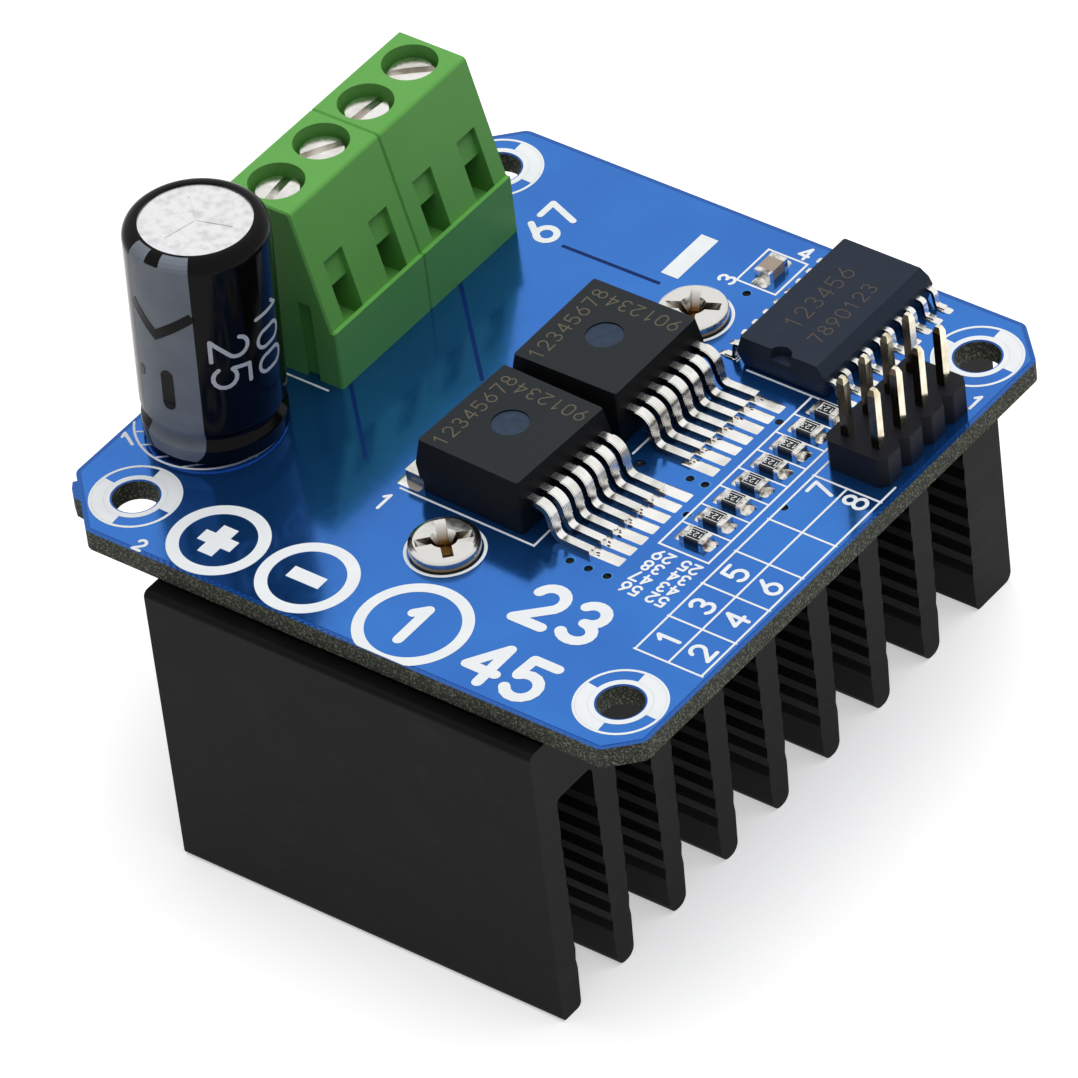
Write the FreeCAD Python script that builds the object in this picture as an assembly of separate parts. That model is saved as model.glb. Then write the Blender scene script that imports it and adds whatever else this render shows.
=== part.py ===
import FreeCAD, Part
import math
import os

# Dual half-bridge motor driver module: a blue circuit board with two power
# chips, a buffer chip, a pin header, small chip parts, a tall can capacitor
# and a four pole screw terminal, bolted to a black finned heatsink.
# Millimetres, +Z up. Origin: middle of the board in plan, at the tips of the
# fins. +X runs along the board's front edge towards the pin header side.

os.makedirs("parts", exist_ok=True)
V = FreeCAD.Vector

# clearances, each written once and used wherever two pieces meet
RUNNING_FIT = 0.05
SLIDING_FIT = 0.10
PIN_HOLE_FIT = 0.20
BOLT_FIT = 0.15

# printed circuit board
BOARD_X = 50.0
BOARD_Y = 50.0
BOARD_T = 1.6
LEFT_CHAMFER = 4.5
FRONT_CHAMFER = 2.2
RIGHT_CHAMFER = 2.9
BOARD_CORNER_R = 0.9
MOUNT_SPACING = 41.0
MOUNT_OFFSET_X = 0.75
MOUNT_HOLE_R = 1.65
VIA_R = 0.3
VIA_PLACES = [(9.84, -10.78), (11.39, -10.80), (12.94, -10.78), (11.82, 0.15),
              (13.06, 0.16), (13.85, -2.97), (7.96, -0.30), (3.59, 18.03), (19.07, 0.93)]
TAB_STUB_LENGTH = 2.2
TAB_STUB_OUT = 0.45

# thermal pad between board and heatsink
PAD_T = 0.3
PAD_X = 26.0
PAD_Y = 40.0

# heatsink extrusion, profile in YZ drawn along X
SINK_HEIGHT = 23.9
SINK_CLEAR_OF_CAN_LEADS = 2.35
SINK_CLEAR_OF_HEADER = 1.94
SINK_WIDTH_Y = 52.8
SINK_BASE_T = 5.4
FIN_PITCH = 6.0
FIN_FIRST_STEP = 5.15
FIN_LAST_GAP = 3.0
FIN_ROOT_T = 2.2
FIN_TIP_T = 1.75
FRONT_FIN_T = 2.05
BACK_FIN_T = 4.2
FIN_RIBS_BELOW_BASE = 1.2
FIN_RIBS_ABOVE_TIP = 1.6
FIN_RIB_PITCH = 1.7
FIN_RIB_DEPTH = 0.11
FIN_ROOT_R = 0.5
SINK_EDGE_R = 0.45

# screws that hold board and heatsink together
BOLT_R = 1.5
BOLT_HEAD_R = 2.5
BOLT_HEAD_H = 1.08
BOLT_GRIP_IN_SINK = 4.4
BOLT_X = 1.9
BOLT_Y = 14.15
RECESS_SPAN = 4.15
RECESS_WING = 0.78
RECESS_DEPTH = 0.95
RECESS_WELL_R = 1.0
RECESS_ANGLE_FRONT = 46.0
RECESS_ANGLE_BACK = 26.0

# power chips: moulded body, heat slug under it, seven formed leads
CHIP_CENTRE_X = 1.3
CHIP_CENTRE_Y = 5.35
CHIP_SKEW_FRONT = -2.0
CHIP_SKEW_BACK = 0.5
CHIP_LENGTH = 9.2
CHIP_WIDTH = 9.9
CHIP_HEIGHT = 4.4
CHIP_DRAFT = 0.3
CHIP_CORNER = 0.12
CHIP_STANDOFF = 0.08
LEAD_COUNT = 7
LEAD_SHOULDER = 1.6
LEAD_DROP_RUN = 0.5
LEAD_REACH = 5.0
LEAD_SHOULDER_R = 0.95
LEAD_WIDE = 0.8
LEAD_WIDE_FROM = 0.75
LEAD_WIDE_DOWN = 0.6
LEAD_TIE_STEP = 0.04
LEAD_FOOT_R = 0.75
LEAD_PITCH = 1.27
LEAD_WIDTH = 0.62
LEAD_T = 0.5
LEAD_EXIT_Z = 2.65
LEAD_SEAT_DEPTH = 0.7
SLUG_T = 1.27
SLUG_OUT = 1.1
SLUG_IN = 5.6
SLUG_WIDTH_IN = 7.6
SLUG_EDGE_R = 0.12
DIMPLE_R = 1.35
DIMPLE_DEPTH = 0.12
DIMPLE_OFF_X = -0.1
DIMPLE_OFF_Y = 0.1

# buffer chip in a twenty lead small outline package
BUFFER_X = 11.35
BUFFER_Y = 17.8
BUFFER_LX = 7.5
BUFFER_LY = 12.8
BUFFER_TOP = 2.55
BUFFER_STANDOFF = 0.12
BUFFER_DRAFT = 0.28
BUFFER_NOTCH_R = 0.85
BUFFER_BEVEL = 0.55
BUFFER_LEADS_PER_SIDE = 10
BUFFER_LEAD_W = 0.44
BUFFER_LEAD_T = 0.25
BUFFER_SPAN = 10.3

# pin header, two rows of four
HEADER_X = 21.43
HEADER_Y = 10.88
HEADER_PITCH = 2.54
HEADER_ROWS = 2
HEADER_COLS = 4
HEADER_BASE_H = 2.5
HEADER_CHAMFER = 0.56
PIN_SQ = 0.64
PIN_TOP = 7.5
PIN_BELOW = 1.3
PIN_POINT = 0.45
PIN_HOLE_R = 0.51

# eight chip resistors in a column
RES_COUNT = 8
RES_X = 15.95
RES_FIRST_Y = -4.77
RES_PITCH = 2.15
RES_LENGTH = 2.0
RES_WIDTH = 1.25
RES_HEIGHT = 0.55
CAP_WRAP = 0.4
CAP_SKIN = 0.05

# ceramic chip capacitor behind the power chips
CHIP_CAP_X = 3.75
CHIP_CAP_Y = 20.75
CHIP_CAP_L = 2.1
CHIP_CAP_W = 1.3
CHIP_CAP_H = 0.85

# can capacitor, leaning a little as it was soldered
CAN_X = -19.85
CAN_Y = -11.45
CAN_R = 4.95
CAN_TOP = 17.6
CAN_LIFT = 0.35
CAN_LEAN = 2.0
CAN_LEAN_HEADING = 41.5
SLEEVE_T = 0.13
SLEEVE_LIP = 1.0
SHOULDER_R = 0.85
CRIMP_Z = 2.3
CRIMP_DEPTH = 0.5
CRIMP_R = 0.75
BUNG_H = 2.0
CAN_WALL = 0.35
CAN_LEAD_R = 0.3
CAN_LEAD_PITCH = 5.0
CAN_LEAD_BELOW = 1.2
VENT_LENGTH = 5.4
VENT_W = 0.12
VENT_DEPTH = 0.08

# screw terminal blocks, two poles each, wires enter from +X
POLE_PITCH = 5.0
POLE_FIRST_Y = -1.85
POLES = 4
POLE_X = -20.1
BLOCK_FRONT_OUT = 5.75
BLOCK_BACK_OUT = 2.9
BLOCK_HEIGHT = 14.3
LIP_HEIGHT = 4.9
LIP_LEDGE = 0.35
BLOCK_TOP_FRONT_OUT = 3.0
BLOCK_EDGE_R = 0.35
BLOCK_END_BEVEL = 0.13
DRIVER_HOLE_R = 2.0
WIRE_SLOT_W = 2.05
WIRE_SLOT_H = 2.4
SLOT_RECESS_H = 4.7
SLOT_RECESS_IN = 0.5
SLOT_BELOW_LIP = 0.9
CAGE_BACK_OUT = 1.7
CAGE_FRONT_OUT = 2.4
CAGE_WIDTH = 3.7
CAGE_FLOOR_T = 0.8
CAGE_CROWN_T = 1.4
CAGE_HEAD_GAP = 0.25
CAGE_TRAVEL = 1.8
CLAMP_SCREW_R = 1.25
CLAMP_HEAD_R = 1.75
CLAMP_HEAD_H = 1.2
CLAMP_HEAD_SUNK = 0.7
CLAMP_SLOT_W = 0.65
CLAMP_SLOT_DEPTH = 0.7
CLAMP_SLOT_ANGLES = [97.0, 59.0, 86.0, 40.0]
STRIP_BELOW_CROWN = 0.6
STRIP_T = 0.6
STRIP_W = 2.1
STRIP_FRONT_OUT = 2.15
STRIP_LEG_OUT = 2.3
STRIP_LEG_T = 0.4
FLOOR_H = 2.2
SOLDER_PIN_X = 0.8
SOLDER_PIN_Y = 1.0
SOLDER_PIN_BELOW = 1.4
KEY_DEPTH = 0.35
KEY_NECK = 0.9
KEY_WIDE = 1.15
KEY_OUT = 3.25
KEY_TOP = 6.5

# heights that follow from the stack
SINK_TOP = SINK_HEIGHT
BOARD_Z0 = SINK_TOP + PAD_T
BOARD_TOP = BOARD_Z0 + BOARD_T

# the heatsink lies between the leads that come through the board on its two sides
SINK_X0 = CAN_X + 0.5 * CAN_LEAD_PITCH + CAN_LEAD_R + SINK_CLEAR_OF_CAN_LEADS
SINK_X1 = HEADER_X - 0.5 * HEADER_PITCH - 0.5 * PIN_SQ - SINK_CLEAR_OF_HEADER
SINK_CENTRE_X = 0.5 * (SINK_X0 + SINK_X1)

# terminal stations along x, counted from the line of its screws
BLOCK_FRONT_X = POLE_X + BLOCK_FRONT_OUT
BLOCK_BACK_X = POLE_X - BLOCK_BACK_OUT
BLOCK_TOP_FRONT_X = POLE_X + BLOCK_TOP_FRONT_OUT
CAGE_X0 = POLE_X - CAGE_BACK_OUT
CAGE_X1 = POLE_X + CAGE_FRONT_OUT
STRIP_FRONT_X = POLE_X + STRIP_FRONT_OUT
STRIP_LEG_X = POLE_X - STRIP_LEG_OUT
KEY_X = POLE_X + KEY_OUT

# terminal heights above the board, from the screw head down
CLAMP_HEAD_TOP = BLOCK_HEIGHT - CLAMP_HEAD_SUNK
CLAMP_HEAD_UNDER = CLAMP_HEAD_TOP - CLAMP_HEAD_H
CAGE_TOP = CLAMP_HEAD_UNDER - CAGE_HEAD_GAP - CAGE_TRAVEL
CAGE_WINDOW_TOP = CAGE_TOP - CAGE_CROWN_T
CAGE_Z0 = LIP_HEIGHT - CAGE_FLOOR_T
CAGE_WINDOW_HALF = CLAMP_SCREW_R + SLIDING_FIT
STRIP_TOP = CAGE_WINDOW_TOP - STRIP_BELOW_CROWN
STRIP_Z = STRIP_TOP - STRIP_T
SHAFT_TOP = CAGE_TOP + CAGE_TRAVEL + SLIDING_FIT


def box(x0, x1, y0, y1, z0, z1):
    """Block between two corners."""
    return Part.makeBox(x1 - x0, y1 - y0, z1 - z0, V(x0, y0, z0))


def disc(r, x, y, z0, z1):
    """Upright round bar or hole."""
    return Part.makeCylinder(r, z1 - z0, V(x, y, z0))


def in_xy(z):
    """Drawing plane seen from above at height z."""
    return lambda a, b: V(a, b, z)


def in_yz(x):
    """Drawing plane seen along X at station x."""
    return lambda a, b: V(x, a, b)


def in_xz(y):
    """Drawing plane seen along Y at station y."""
    return lambda a, b: V(a, y, b)


def outline(corners, place):
    """Closed wire through corners (a, b, r), each rounded by a tangent arc of radius r."""
    n = len(corners)
    joints = []
    for i in range(n):
        a, b, r = corners[i]
        pa, pb, _ = corners[i - 1]
        na, nb, _ = corners[(i + 1) % n]
        if r <= 0:
            joints.append((place(a, b), place(a, b), None))
            continue
        lu = math.hypot(pa - a, pb - b)
        lv = math.hypot(na - a, nb - b)
        ua, ub = (pa - a) / lu, (pb - b) / lu
        va, vb = (na - a) / lv, (nb - b) / lv
        half = 0.5 * math.acos(max(-1.0, min(1.0, ua * va + ub * vb)))
        t = r / math.tan(half)
        ma, mb = ua + va, ub + vb
        lm = math.hypot(ma, mb)
        d = r / math.sin(half) - r
        start = place(a + ua * t, b + ub * t)
        end = place(a + va * t, b + vb * t)
        middle = place(a + ma / lm * d, b + mb / lm * d)
        joints.append((start, end, middle))
    edges = []
    for i in range(n):
        start, end, middle = joints[i]
        if middle is not None:
            edges.append(Part.Arc(start, middle, end).toShape())
        following = joints[(i + 1) % n][0]
        if (following - end).Length > 1e-6:
            edges.append(Part.LineSegment(end, following).toShape())
    return Part.Wire(edges)


def drawn(corners, place, along):
    """Solid whose outline is pulled along a vector."""
    return Part.Face(outline(corners, place)).extrude(along)


def turned(profile, x, y, z):
    """Solid of revolution about an upright axis; profile is an outline of (radius, height, r)."""
    face = Part.Face(outline(profile, in_xz(0.0)))
    solid = face.revolve(V(0, 0, 0), V(0, 0, 1), 360)
    solid.translate(V(x, y, z))
    return solid


def lofted(levels):
    """Solid through rectangles with cut corners: (x0, x1, y0, y1, corner, z) from the bottom up."""
    wires = []
    for x0, x1, y0, y1, c, z in levels:
        pts = [(x0 + c, y0), (x1 - c, y0), (x1, y0 + c), (x1, y1 - c),
               (x1 - c, y1), (x0 + c, y1), (x0, y1 - c), (x0, y0 + c)]
        loop = [V(a, b, z) for a, b in pts]
        wires.append(Part.makePolygon(loop + [loop[0]]))
    return Part.makeLoft(wires, True, True)


def strip_path(path, t):
    """Corners of a bent strip of thickness t along path points (a, b, bend radius)."""
    n = len(path)
    near = []
    far = []
    for i in range(n):
        a, b, r = path[i]
        if i == 0:
            da, db = path[1][0] - a, path[1][1] - b
        else:
            da, db = a - path[i - 1][0], b - path[i - 1][1]
        ld = math.hypot(da, db)
        na, nb = -db / ld, da / ld
        if 0 < i < n - 1:
            ea, eb = path[i + 1][0] - a, path[i + 1][1] - b
            le = math.hypot(ea, eb)
            ma, mb = -eb / le, ea / le
            sa, sb = na + ma, nb + mb
            k = 2.0 / (sa * sa + sb * sb)
            na, nb = sa * k, sb * k
            turn = (da * eb - db * ea)
        else:
            turn = 0.0
        up = 0.0 if r <= 0 else r + (-0.5 * t if turn > 0 else 0.5 * t)
        down = 0.0 if r <= 0 else r + (0.5 * t if turn > 0 else -0.5 * t)
        near.append((a + na * 0.5 * t, b + nb * 0.5 * t, up))
        far.append((a - na * 0.5 * t, b - nb * 0.5 * t, down))
    return near + far[::-1]


def turned_about(shape, x, y, degrees):
    """Shape turned in plan about the upright line through x, y."""
    out = shape.copy()
    out.rotate(V(x, y, 0), V(0, 0, 1), degrees)
    return out


def save(name, shapes):
    """Write one node; several solids go in as a group."""
    items = shapes if isinstance(shapes, list) else [shapes]
    solids = []
    for item in items:
        solids.extend(item.removeSplitter().Solids)
    shape = solids[0] if len(solids) == 1 else Part.makeCompound(solids)
    shape.exportStep("parts/" + name + ".step")


# circuit board
def make_board():
    hx, hy = 0.5 * BOARD_X, 0.5 * BOARD_Y
    r = BOARD_CORNER_R
    plan = [(-hx + LEFT_CHAMFER, -hy, r), (hx - FRONT_CHAMFER, -hy, r),
            (hx, -hy + FRONT_CHAMFER, r), (hx, hy - RIGHT_CHAMFER, r),
            (hx - RIGHT_CHAMFER, hy, r), (-hx + LEFT_CHAMFER, hy, r),
            (-hx, hy - LEFT_CHAMFER, r), (-hx, -hy + LEFT_CHAMFER, r)]
    board = drawn(plan, in_xy(BOARD_Z0), V(0, 0, BOARD_T))
    # stub left where the board was snapped out of its panel
    t0 = 0.16 * LEFT_CHAMFER
    t1 = t0 + TAB_STUB_LENGTH * math.sqrt(0.5)
    out = TAB_STUB_OUT * math.sqrt(0.5)
    inside = 0.4
    stub = [(-hx + t0 + inside, -hy + LEFT_CHAMFER - t0 + inside, 0.0),
            (-hx + t0 - out * 0.7, -hy + LEFT_CHAMFER - t0 - out * 0.7, 0.0),
            (-hx + t0 + 0.5 - out, -hy + LEFT_CHAMFER - t0 - 0.5 - out, 0.0),
            (-hx + t1 - 0.3 - out * 0.8, -hy + LEFT_CHAMFER - t1 + 0.3 - out * 0.8, 0.0),
            (-hx + t1, -hy + LEFT_CHAMFER - t1, 0.0),
            (-hx + t1 + inside, -hy + LEFT_CHAMFER - t1 + inside, 0.0)]
    board = board.fuse(drawn(stub, in_xy(BOARD_Z0), V(0, 0, BOARD_T)))
    holes = []
    for sx in (-1, 1):
        for sy in (-1, 1):
            holes.append((MOUNT_OFFSET_X + sx * 0.5 * MOUNT_SPACING,
                          sy * 0.5 * MOUNT_SPACING, MOUNT_HOLE_R))
    for sy in (-1, 1):
        holes.append((BOLT_X, sy * BOLT_Y, BOLT_R + BOLT_FIT))
    for x, y in header_places():
        holes.append((x, y, PIN_HOLE_R))
    for k in range(POLES):
        half_diagonal = 0.5 * math.hypot(SOLDER_PIN_X, SOLDER_PIN_Y)
        holes.append((POLE_X, pole_y(k), half_diagonal + PIN_HOLE_FIT))
    for s in (-1, 1):
        holes.append((CAN_X + s * 0.5 * CAN_LEAD_PITCH, CAN_Y, CAN_LEAD_R + PIN_HOLE_FIT))
    for x, y in VIA_PLACES:
        holes.append((x, y, VIA_R))
    for x, y, radius in holes:
        board = board.cut(disc(radius, x, y, BOARD_Z0 - 1, BOARD_TOP + 1))
    return board


def header_places():
    """Centres of the header pins in plan."""
    return [(HEADER_X + (i - 0.5 * (HEADER_ROWS - 1)) * HEADER_PITCH,
             HEADER_Y + (j - 0.5 * (HEADER_COLS - 1)) * HEADER_PITCH)
            for i in range(HEADER_ROWS) for j in range(HEADER_COLS)]


def pole_y(k):
    """Centre of terminal pole k."""
    return POLE_FIRST_Y + k * POLE_PITCH


# heatsink: one outline with ribbed fins, drawn along X
def ribbed_side(y_root, y_tip, z_root, z_tip, outward):
    """Points down one fin flank, a row of shallow ridges that run along the extrusion."""
    points = []
    steps = int(abs(z_root - z_tip) / FIN_RIB_PITCH)
    for i in range(1, steps):
        f = i / steps
        z = z_root + (z_tip - z_root) * f
        y = y_root + (y_tip - y_root) * f
        points.append((y + outward * FIN_RIB_DEPTH, z, 0.0))
        g = (i + 0.5) / steps
        if i < steps - 1:
            points.append((y_root + (y_tip - y_root) * g, z_root + (z_tip - z_root) * g, 0.0))
    return points


def make_heatsink():
    half = 0.5 * SINK_WIDTH_Y
    under = SINK_TOP - SINK_BASE_T
    tip_r = 0.46 * FIN_TIP_T
    front_inner = -half + FRONT_FIN_T
    back_inner = half - BACK_FIN_T
    room = back_inner - front_inner - FIN_FIRST_STEP - 0.5 * FIN_ROOT_T - FIN_LAST_GAP
    fins = []
    for k in range(int(room / FIN_PITCH) + 1):
        centre = front_inner + FIN_FIRST_STEP + k * FIN_PITCH
        fins.append((centre - 0.5 * FIN_ROOT_T, centre + 0.5 * FIN_ROOT_T,
                     centre - 0.5 * FIN_TIP_T, centre + 0.5 * FIN_TIP_T))
    corners = [(-half, SINK_TOP, SINK_EDGE_R), (-half, 0.0, SINK_EDGE_R)]
    rib_top = under - FIN_RIBS_BELOW_BASE
    rib_low = FIN_RIBS_ABOVE_TIP
    corners.append((front_inner, 0.0, SINK_EDGE_R))
    corners += ribbed_side(front_inner, front_inner, rib_top, rib_low, 1)[::-1]
    corners.append((front_inner + 0.1, under, FIN_ROOT_R))
    for y0, y1, t0, t1 in fins:
        corners.append((y0 - 0.05, under, FIN_ROOT_R))
        corners += ribbed_side(y0, t0, rib_top, rib_low, -1)
        corners.append((t0, 0.0, tip_r))
        corners.append((t1, 0.0, tip_r))
        corners += ribbed_side(y1, t1, rib_top, rib_low, 1)[::-1]
        corners.append((y1 + 0.05, under, FIN_ROOT_R))
    corners.append((back_inner - 0.1, under, FIN_ROOT_R))
    corners += ribbed_side(back_inner, back_inner, rib_top, rib_low, -1)
    corners.append((back_inner, 0.0, SINK_EDGE_R))
    corners.append((half, 0.0, SINK_EDGE_R * 1.6))
    corners.append((half, SINK_TOP, SINK_EDGE_R))
    sink = drawn(corners, in_yz(SINK_X0), V(SINK_X1 - SINK_X0, 0, 0))
    for s in (-1, 1):
        sink = sink.cut(disc(BOLT_R + RUNNING_FIT, BOLT_X, s * BOLT_Y,
                             SINK_TOP - SINK_BASE_T + 0.5, SINK_TOP + 1))
    return sink


def make_thermal_pad():
    x0 = SINK_CENTRE_X - 0.5 * PAD_X
    pad = box(x0, x0 + PAD_X, -0.5 * PAD_Y, 0.5 * PAD_Y, SINK_TOP, BOARD_Z0)
    for s in (-1, 1):
        pad = pad.cut(disc(BOLT_R + BOLT_FIT, BOLT_X, s * BOLT_Y, SINK_TOP - 1, BOARD_TOP))
    return pad


def cross_recess(x, y, z_top, angle):
    """Tapered cross recess of a driver: two wedges that narrow towards the bottom."""
    cut = None
    for turn in (0.0, 90.0):
        top = [(-0.5 * RECESS_SPAN, -0.5 * RECESS_WING), (0.5 * RECESS_SPAN, -0.5 * RECESS_WING),
               (0.5 * RECESS_SPAN, 0.5 * RECESS_WING), (-0.5 * RECESS_SPAN, 0.5 * RECESS_WING)]
        wires = []
        for scale_a, scale_b, z in ((1.0, 1.0, 0.0), (0.34, 0.7, -RECESS_DEPTH)):
            loop = [V(a * scale_a, b * scale_b, z) for a, b in top]
            wires.append(Part.makePolygon(loop + [loop[0]]))
        wedge = Part.makeLoft(wires, True, True)
        wedge.rotate(V(0, 0, 0), V(0, 0, 1), angle + turn)
        cut = wedge if cut is None else cut.fuse(wedge)
    well = Part.makeCone(0.45 * RECESS_WELL_R, RECESS_WELL_R, RECESS_DEPTH + 0.15,
                         V(0, 0, -RECESS_DEPTH - 0.15))
    cut = cut.fuse(well)
    cut.translate(V(x, y, z_top))
    return cut


def make_bolt(x, y, angle):
    """Pan head cross recess screw, head seated on the board, shank down into the heatsink."""
    bottom = SINK_TOP - BOLT_GRIP_IN_SINK
    h = BOLT_HEAD_H
    profile = [(0.0, bottom - BOARD_TOP, 0.0), (BOLT_R - 0.4, bottom - BOARD_TOP, 0.0),
               (BOLT_R, bottom - BOARD_TOP + 0.45, 0.0), (BOLT_R, 0.0, 0.0),
               (BOLT_HEAD_R, 0.0, 0.0), (BOLT_HEAD_R, 0.78 * h, 0.14),
               (BOLT_HEAD_R - 0.35, 0.96 * h, 0.35), (0.0, h, 0.0)]
    bolt = turned(profile, x, y, BOARD_TOP)
    return bolt.cut(cross_recess(x, y, BOARD_TOP + h + 0.02, angle))


# power chip, drawn about its own centre with the leads towards +X
def place_chip(shape, side):
    """Put a chip piece at the front (-1) or the back (+1), turned by that chip's skew."""
    out = shape.copy()
    skew = CHIP_SKEW_FRONT if side < 0 else CHIP_SKEW_BACK
    out.rotate(V(0, 0, 0), V(0, 0, 1), skew)
    out.translate(V(CHIP_CENTRE_X, side * CHIP_CENTRE_Y, BOARD_TOP))
    return out


def chip_slug():
    half = 0.5 * CHIP_LENGTH
    w = 0.5 * CHIP_WIDTH - 0.1
    wi = 0.5 * SLUG_WIDTH_IN
    back = -half - SLUG_OUT
    neck = -half + 0.5
    plan = [(back, -w, SLUG_EDGE_R), (neck, -w, 0.0), (neck, -wi, 0.0),
            (neck + SLUG_IN, -wi, 0.5), (neck + SLUG_IN, wi, 0.5), (neck, wi, 0.0), (neck, w, 0.0),
            (back, w, SLUG_EDGE_R)]
    return drawn(plan, in_xy(0.0), V(0, 0, SLUG_T))


def chip_leads():
    half = 0.5 * CHIP_LENGTH
    seat = half - LEAD_SEAT_DEPTH
    foot_z = 0.5 * LEAD_T
    shoulder = half + LEAD_SHOULDER
    path = [(seat, LEAD_EXIT_Z, 0.0), (shoulder, LEAD_EXIT_Z, LEAD_SHOULDER_R),
            (shoulder + LEAD_DROP_RUN, foot_z, LEAD_FOOT_R), (half + LEAD_REACH, foot_z, 0.0)]
    # between the two cut tie bars the lead is wider
    f = LEAD_WIDE_DOWN
    wide = [(half + LEAD_WIDE_FROM, LEAD_EXIT_Z, 0.0), (shoulder, LEAD_EXIT_Z, LEAD_SHOULDER_R),
            (shoulder + f * LEAD_DROP_RUN, LEAD_EXIT_Z + f * (foot_z - LEAD_EXIT_Z), 0.0)]
    leads = []
    for i in range(LEAD_COUNT):
        y = (i - 0.5 * (LEAD_COUNT - 1)) * LEAD_PITCH
        lead = drawn(strip_path(path, LEAD_T), in_xz(y - 0.5 * LEAD_WIDTH), V(0, LEAD_WIDTH, 0))
        section = strip_path(wide, LEAD_T - LEAD_TIE_STEP)
        broad = drawn(section, in_xz(y - 0.5 * LEAD_WIDE), V(0, LEAD_WIDE, 0))
        leads.append(lead.fuse(broad))
    return leads


def chip_body(slug, leads):
    hx, hy = 0.5 * CHIP_LENGTH, 0.5 * CHIP_WIDTH
    d = CHIP_DRAFT
    body = lofted([(-hx + 0.6 * d, hx - 0.6 * d, -hy + 0.6 * d, hy - 0.6 * d, CHIP_CORNER, CHIP_STANDOFF),
                   (-hx, hx, -hy, hy, CHIP_CORNER, LEAD_EXIT_Z - 0.5 * LEAD_T),
                   (-hx + d, hx - d, -hy + d, hy - d, CHIP_CORNER, CHIP_HEIGHT)])
    body = body.cut(slug)
    for lead in leads:
        body = body.cut(lead)
    return body.cut(disc(DIMPLE_R, DIMPLE_OFF_X, DIMPLE_OFF_Y, CHIP_HEIGHT - DIMPLE_DEPTH, CHIP_HEIGHT + 1))


# buffer chip
def buffer_leads():
    leads = []
    inner = 0.5 * BUFFER_LX - 0.35
    outer = 0.5 * BUFFER_SPAN
    mid_z = 0.5 * (BUFFER_STANDOFF + BUFFER_TOP)
    foot_z = 0.5 * BUFFER_LEAD_T
    path = [(inner, mid_z, 0.0), (0.5 * BUFFER_LX + 0.48, mid_z, 0.25),
            (0.5 * BUFFER_LX + 0.66, foot_z, 0.25), (outer, foot_z, 0.0)]
    for i in range(BUFFER_LEADS_PER_SIDE):
        y = (i - 0.5 * (BUFFER_LEADS_PER_SIDE - 1)) * LEAD_PITCH
        lead = drawn(strip_path(path, BUFFER_LEAD_T), in_xz(y - 0.5 * BUFFER_LEAD_W),
                     V(0, BUFFER_LEAD_W, 0))
        leads.append(lead)
        leads.append(turned_about(lead, 0, 0, 180))
    for lead in leads:
        lead.translate(V(BUFFER_X, BUFFER_Y, BOARD_TOP))
    return leads


def buffer_body(leads):
    hx, hy = 0.5 * BUFFER_LX, 0.5 * BUFFER_LY
    d = BUFFER_DRAFT
    mid = 0.5 * (BUFFER_STANDOFF + BUFFER_TOP)
    body = lofted([(-hx + d, hx - d, -hy + d, hy - d, 0.12, BUFFER_STANDOFF),
                   (-hx, hx, -hy, hy, 0.12, mid),
                   (-hx + d, hx - d, -hy + d, hy - d, 0.12, BUFFER_TOP)])
    # long bevel that marks the first lead's side, and the half round notch at the near end
    b = BUFFER_BEVEL
    wedge = [(hx - d - b, BUFFER_TOP + 0.01, 0.0), (hx + 1.0, BUFFER_TOP + 0.01, 0.0),
             (hx + 1.0, mid + 0.25, 0.0), (hx - 0.02, mid + 0.35, 0.0)]
    body = body.cut(drawn(wedge, in_xz(-hy - 1), V(0, BUFFER_LY + 2, 0)))
    body = body.cut(disc(BUFFER_NOTCH_R, 0.0, -hy + 0.1, BUFFER_TOP - 0.8, BUFFER_TOP + 1))
    body.translate(V(BUFFER_X, BUFFER_Y, BOARD_TOP))
    for lead in leads:
        body = body.cut(lead)
    return body


# pin header
def header_base(pins):
    hx = 0.5 * HEADER_ROWS * HEADER_PITCH
    c = HEADER_CHAMFER
    right = []
    left = []
    for j in range(HEADER_COLS):
        y0 = (j - 0.5 * HEADER_COLS) * HEADER_PITCH
        right += [(hx - c, y0, 0.0), (hx, y0 + c, 0.0),
                  (hx, y0 + HEADER_PITCH - c, 0.0)]
        left += [(-hx, y0 + c, 0.0), (-hx, y0 + HEADER_PITCH - c, 0.0),
                 (-hx + c, y0 + HEADER_PITCH, 0.0)]
    top_y = 0.5 * HEADER_COLS * HEADER_PITCH
    plan = right + [(hx - c, top_y, 0.0)] + left[::-1] + [(-hx + c, -top_y, 0.0)]
    base = drawn(plan, in_xy(0.0), V(0, 0, HEADER_BASE_H))
    base.translate(V(HEADER_X, HEADER_Y, BOARD_TOP))
    for pin in pins:
        base = base.cut(pin)
    return base


def header_pins():
    s = 0.5 * PIN_SQ
    low = -BOARD_T - PIN_BELOW
    pins = []
    for x, y in header_places():
        levels = []
        for half, z in ((0.5 * s, low), (s, low + PIN_POINT),
                        (s, PIN_TOP - PIN_POINT), (0.55 * s, PIN_TOP)):
            loop = [V(x - half, y - half, BOARD_TOP + z), V(x + half, y - half, BOARD_TOP + z),
                    V(x + half, y + half, BOARD_TOP + z), V(x - half, y + half, BOARD_TOP + z)]
            levels.append(Part.makePolygon(loop + [loop[0]]))
        pins.append(Part.makeLoft(levels, True, True))
    return pins


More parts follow.
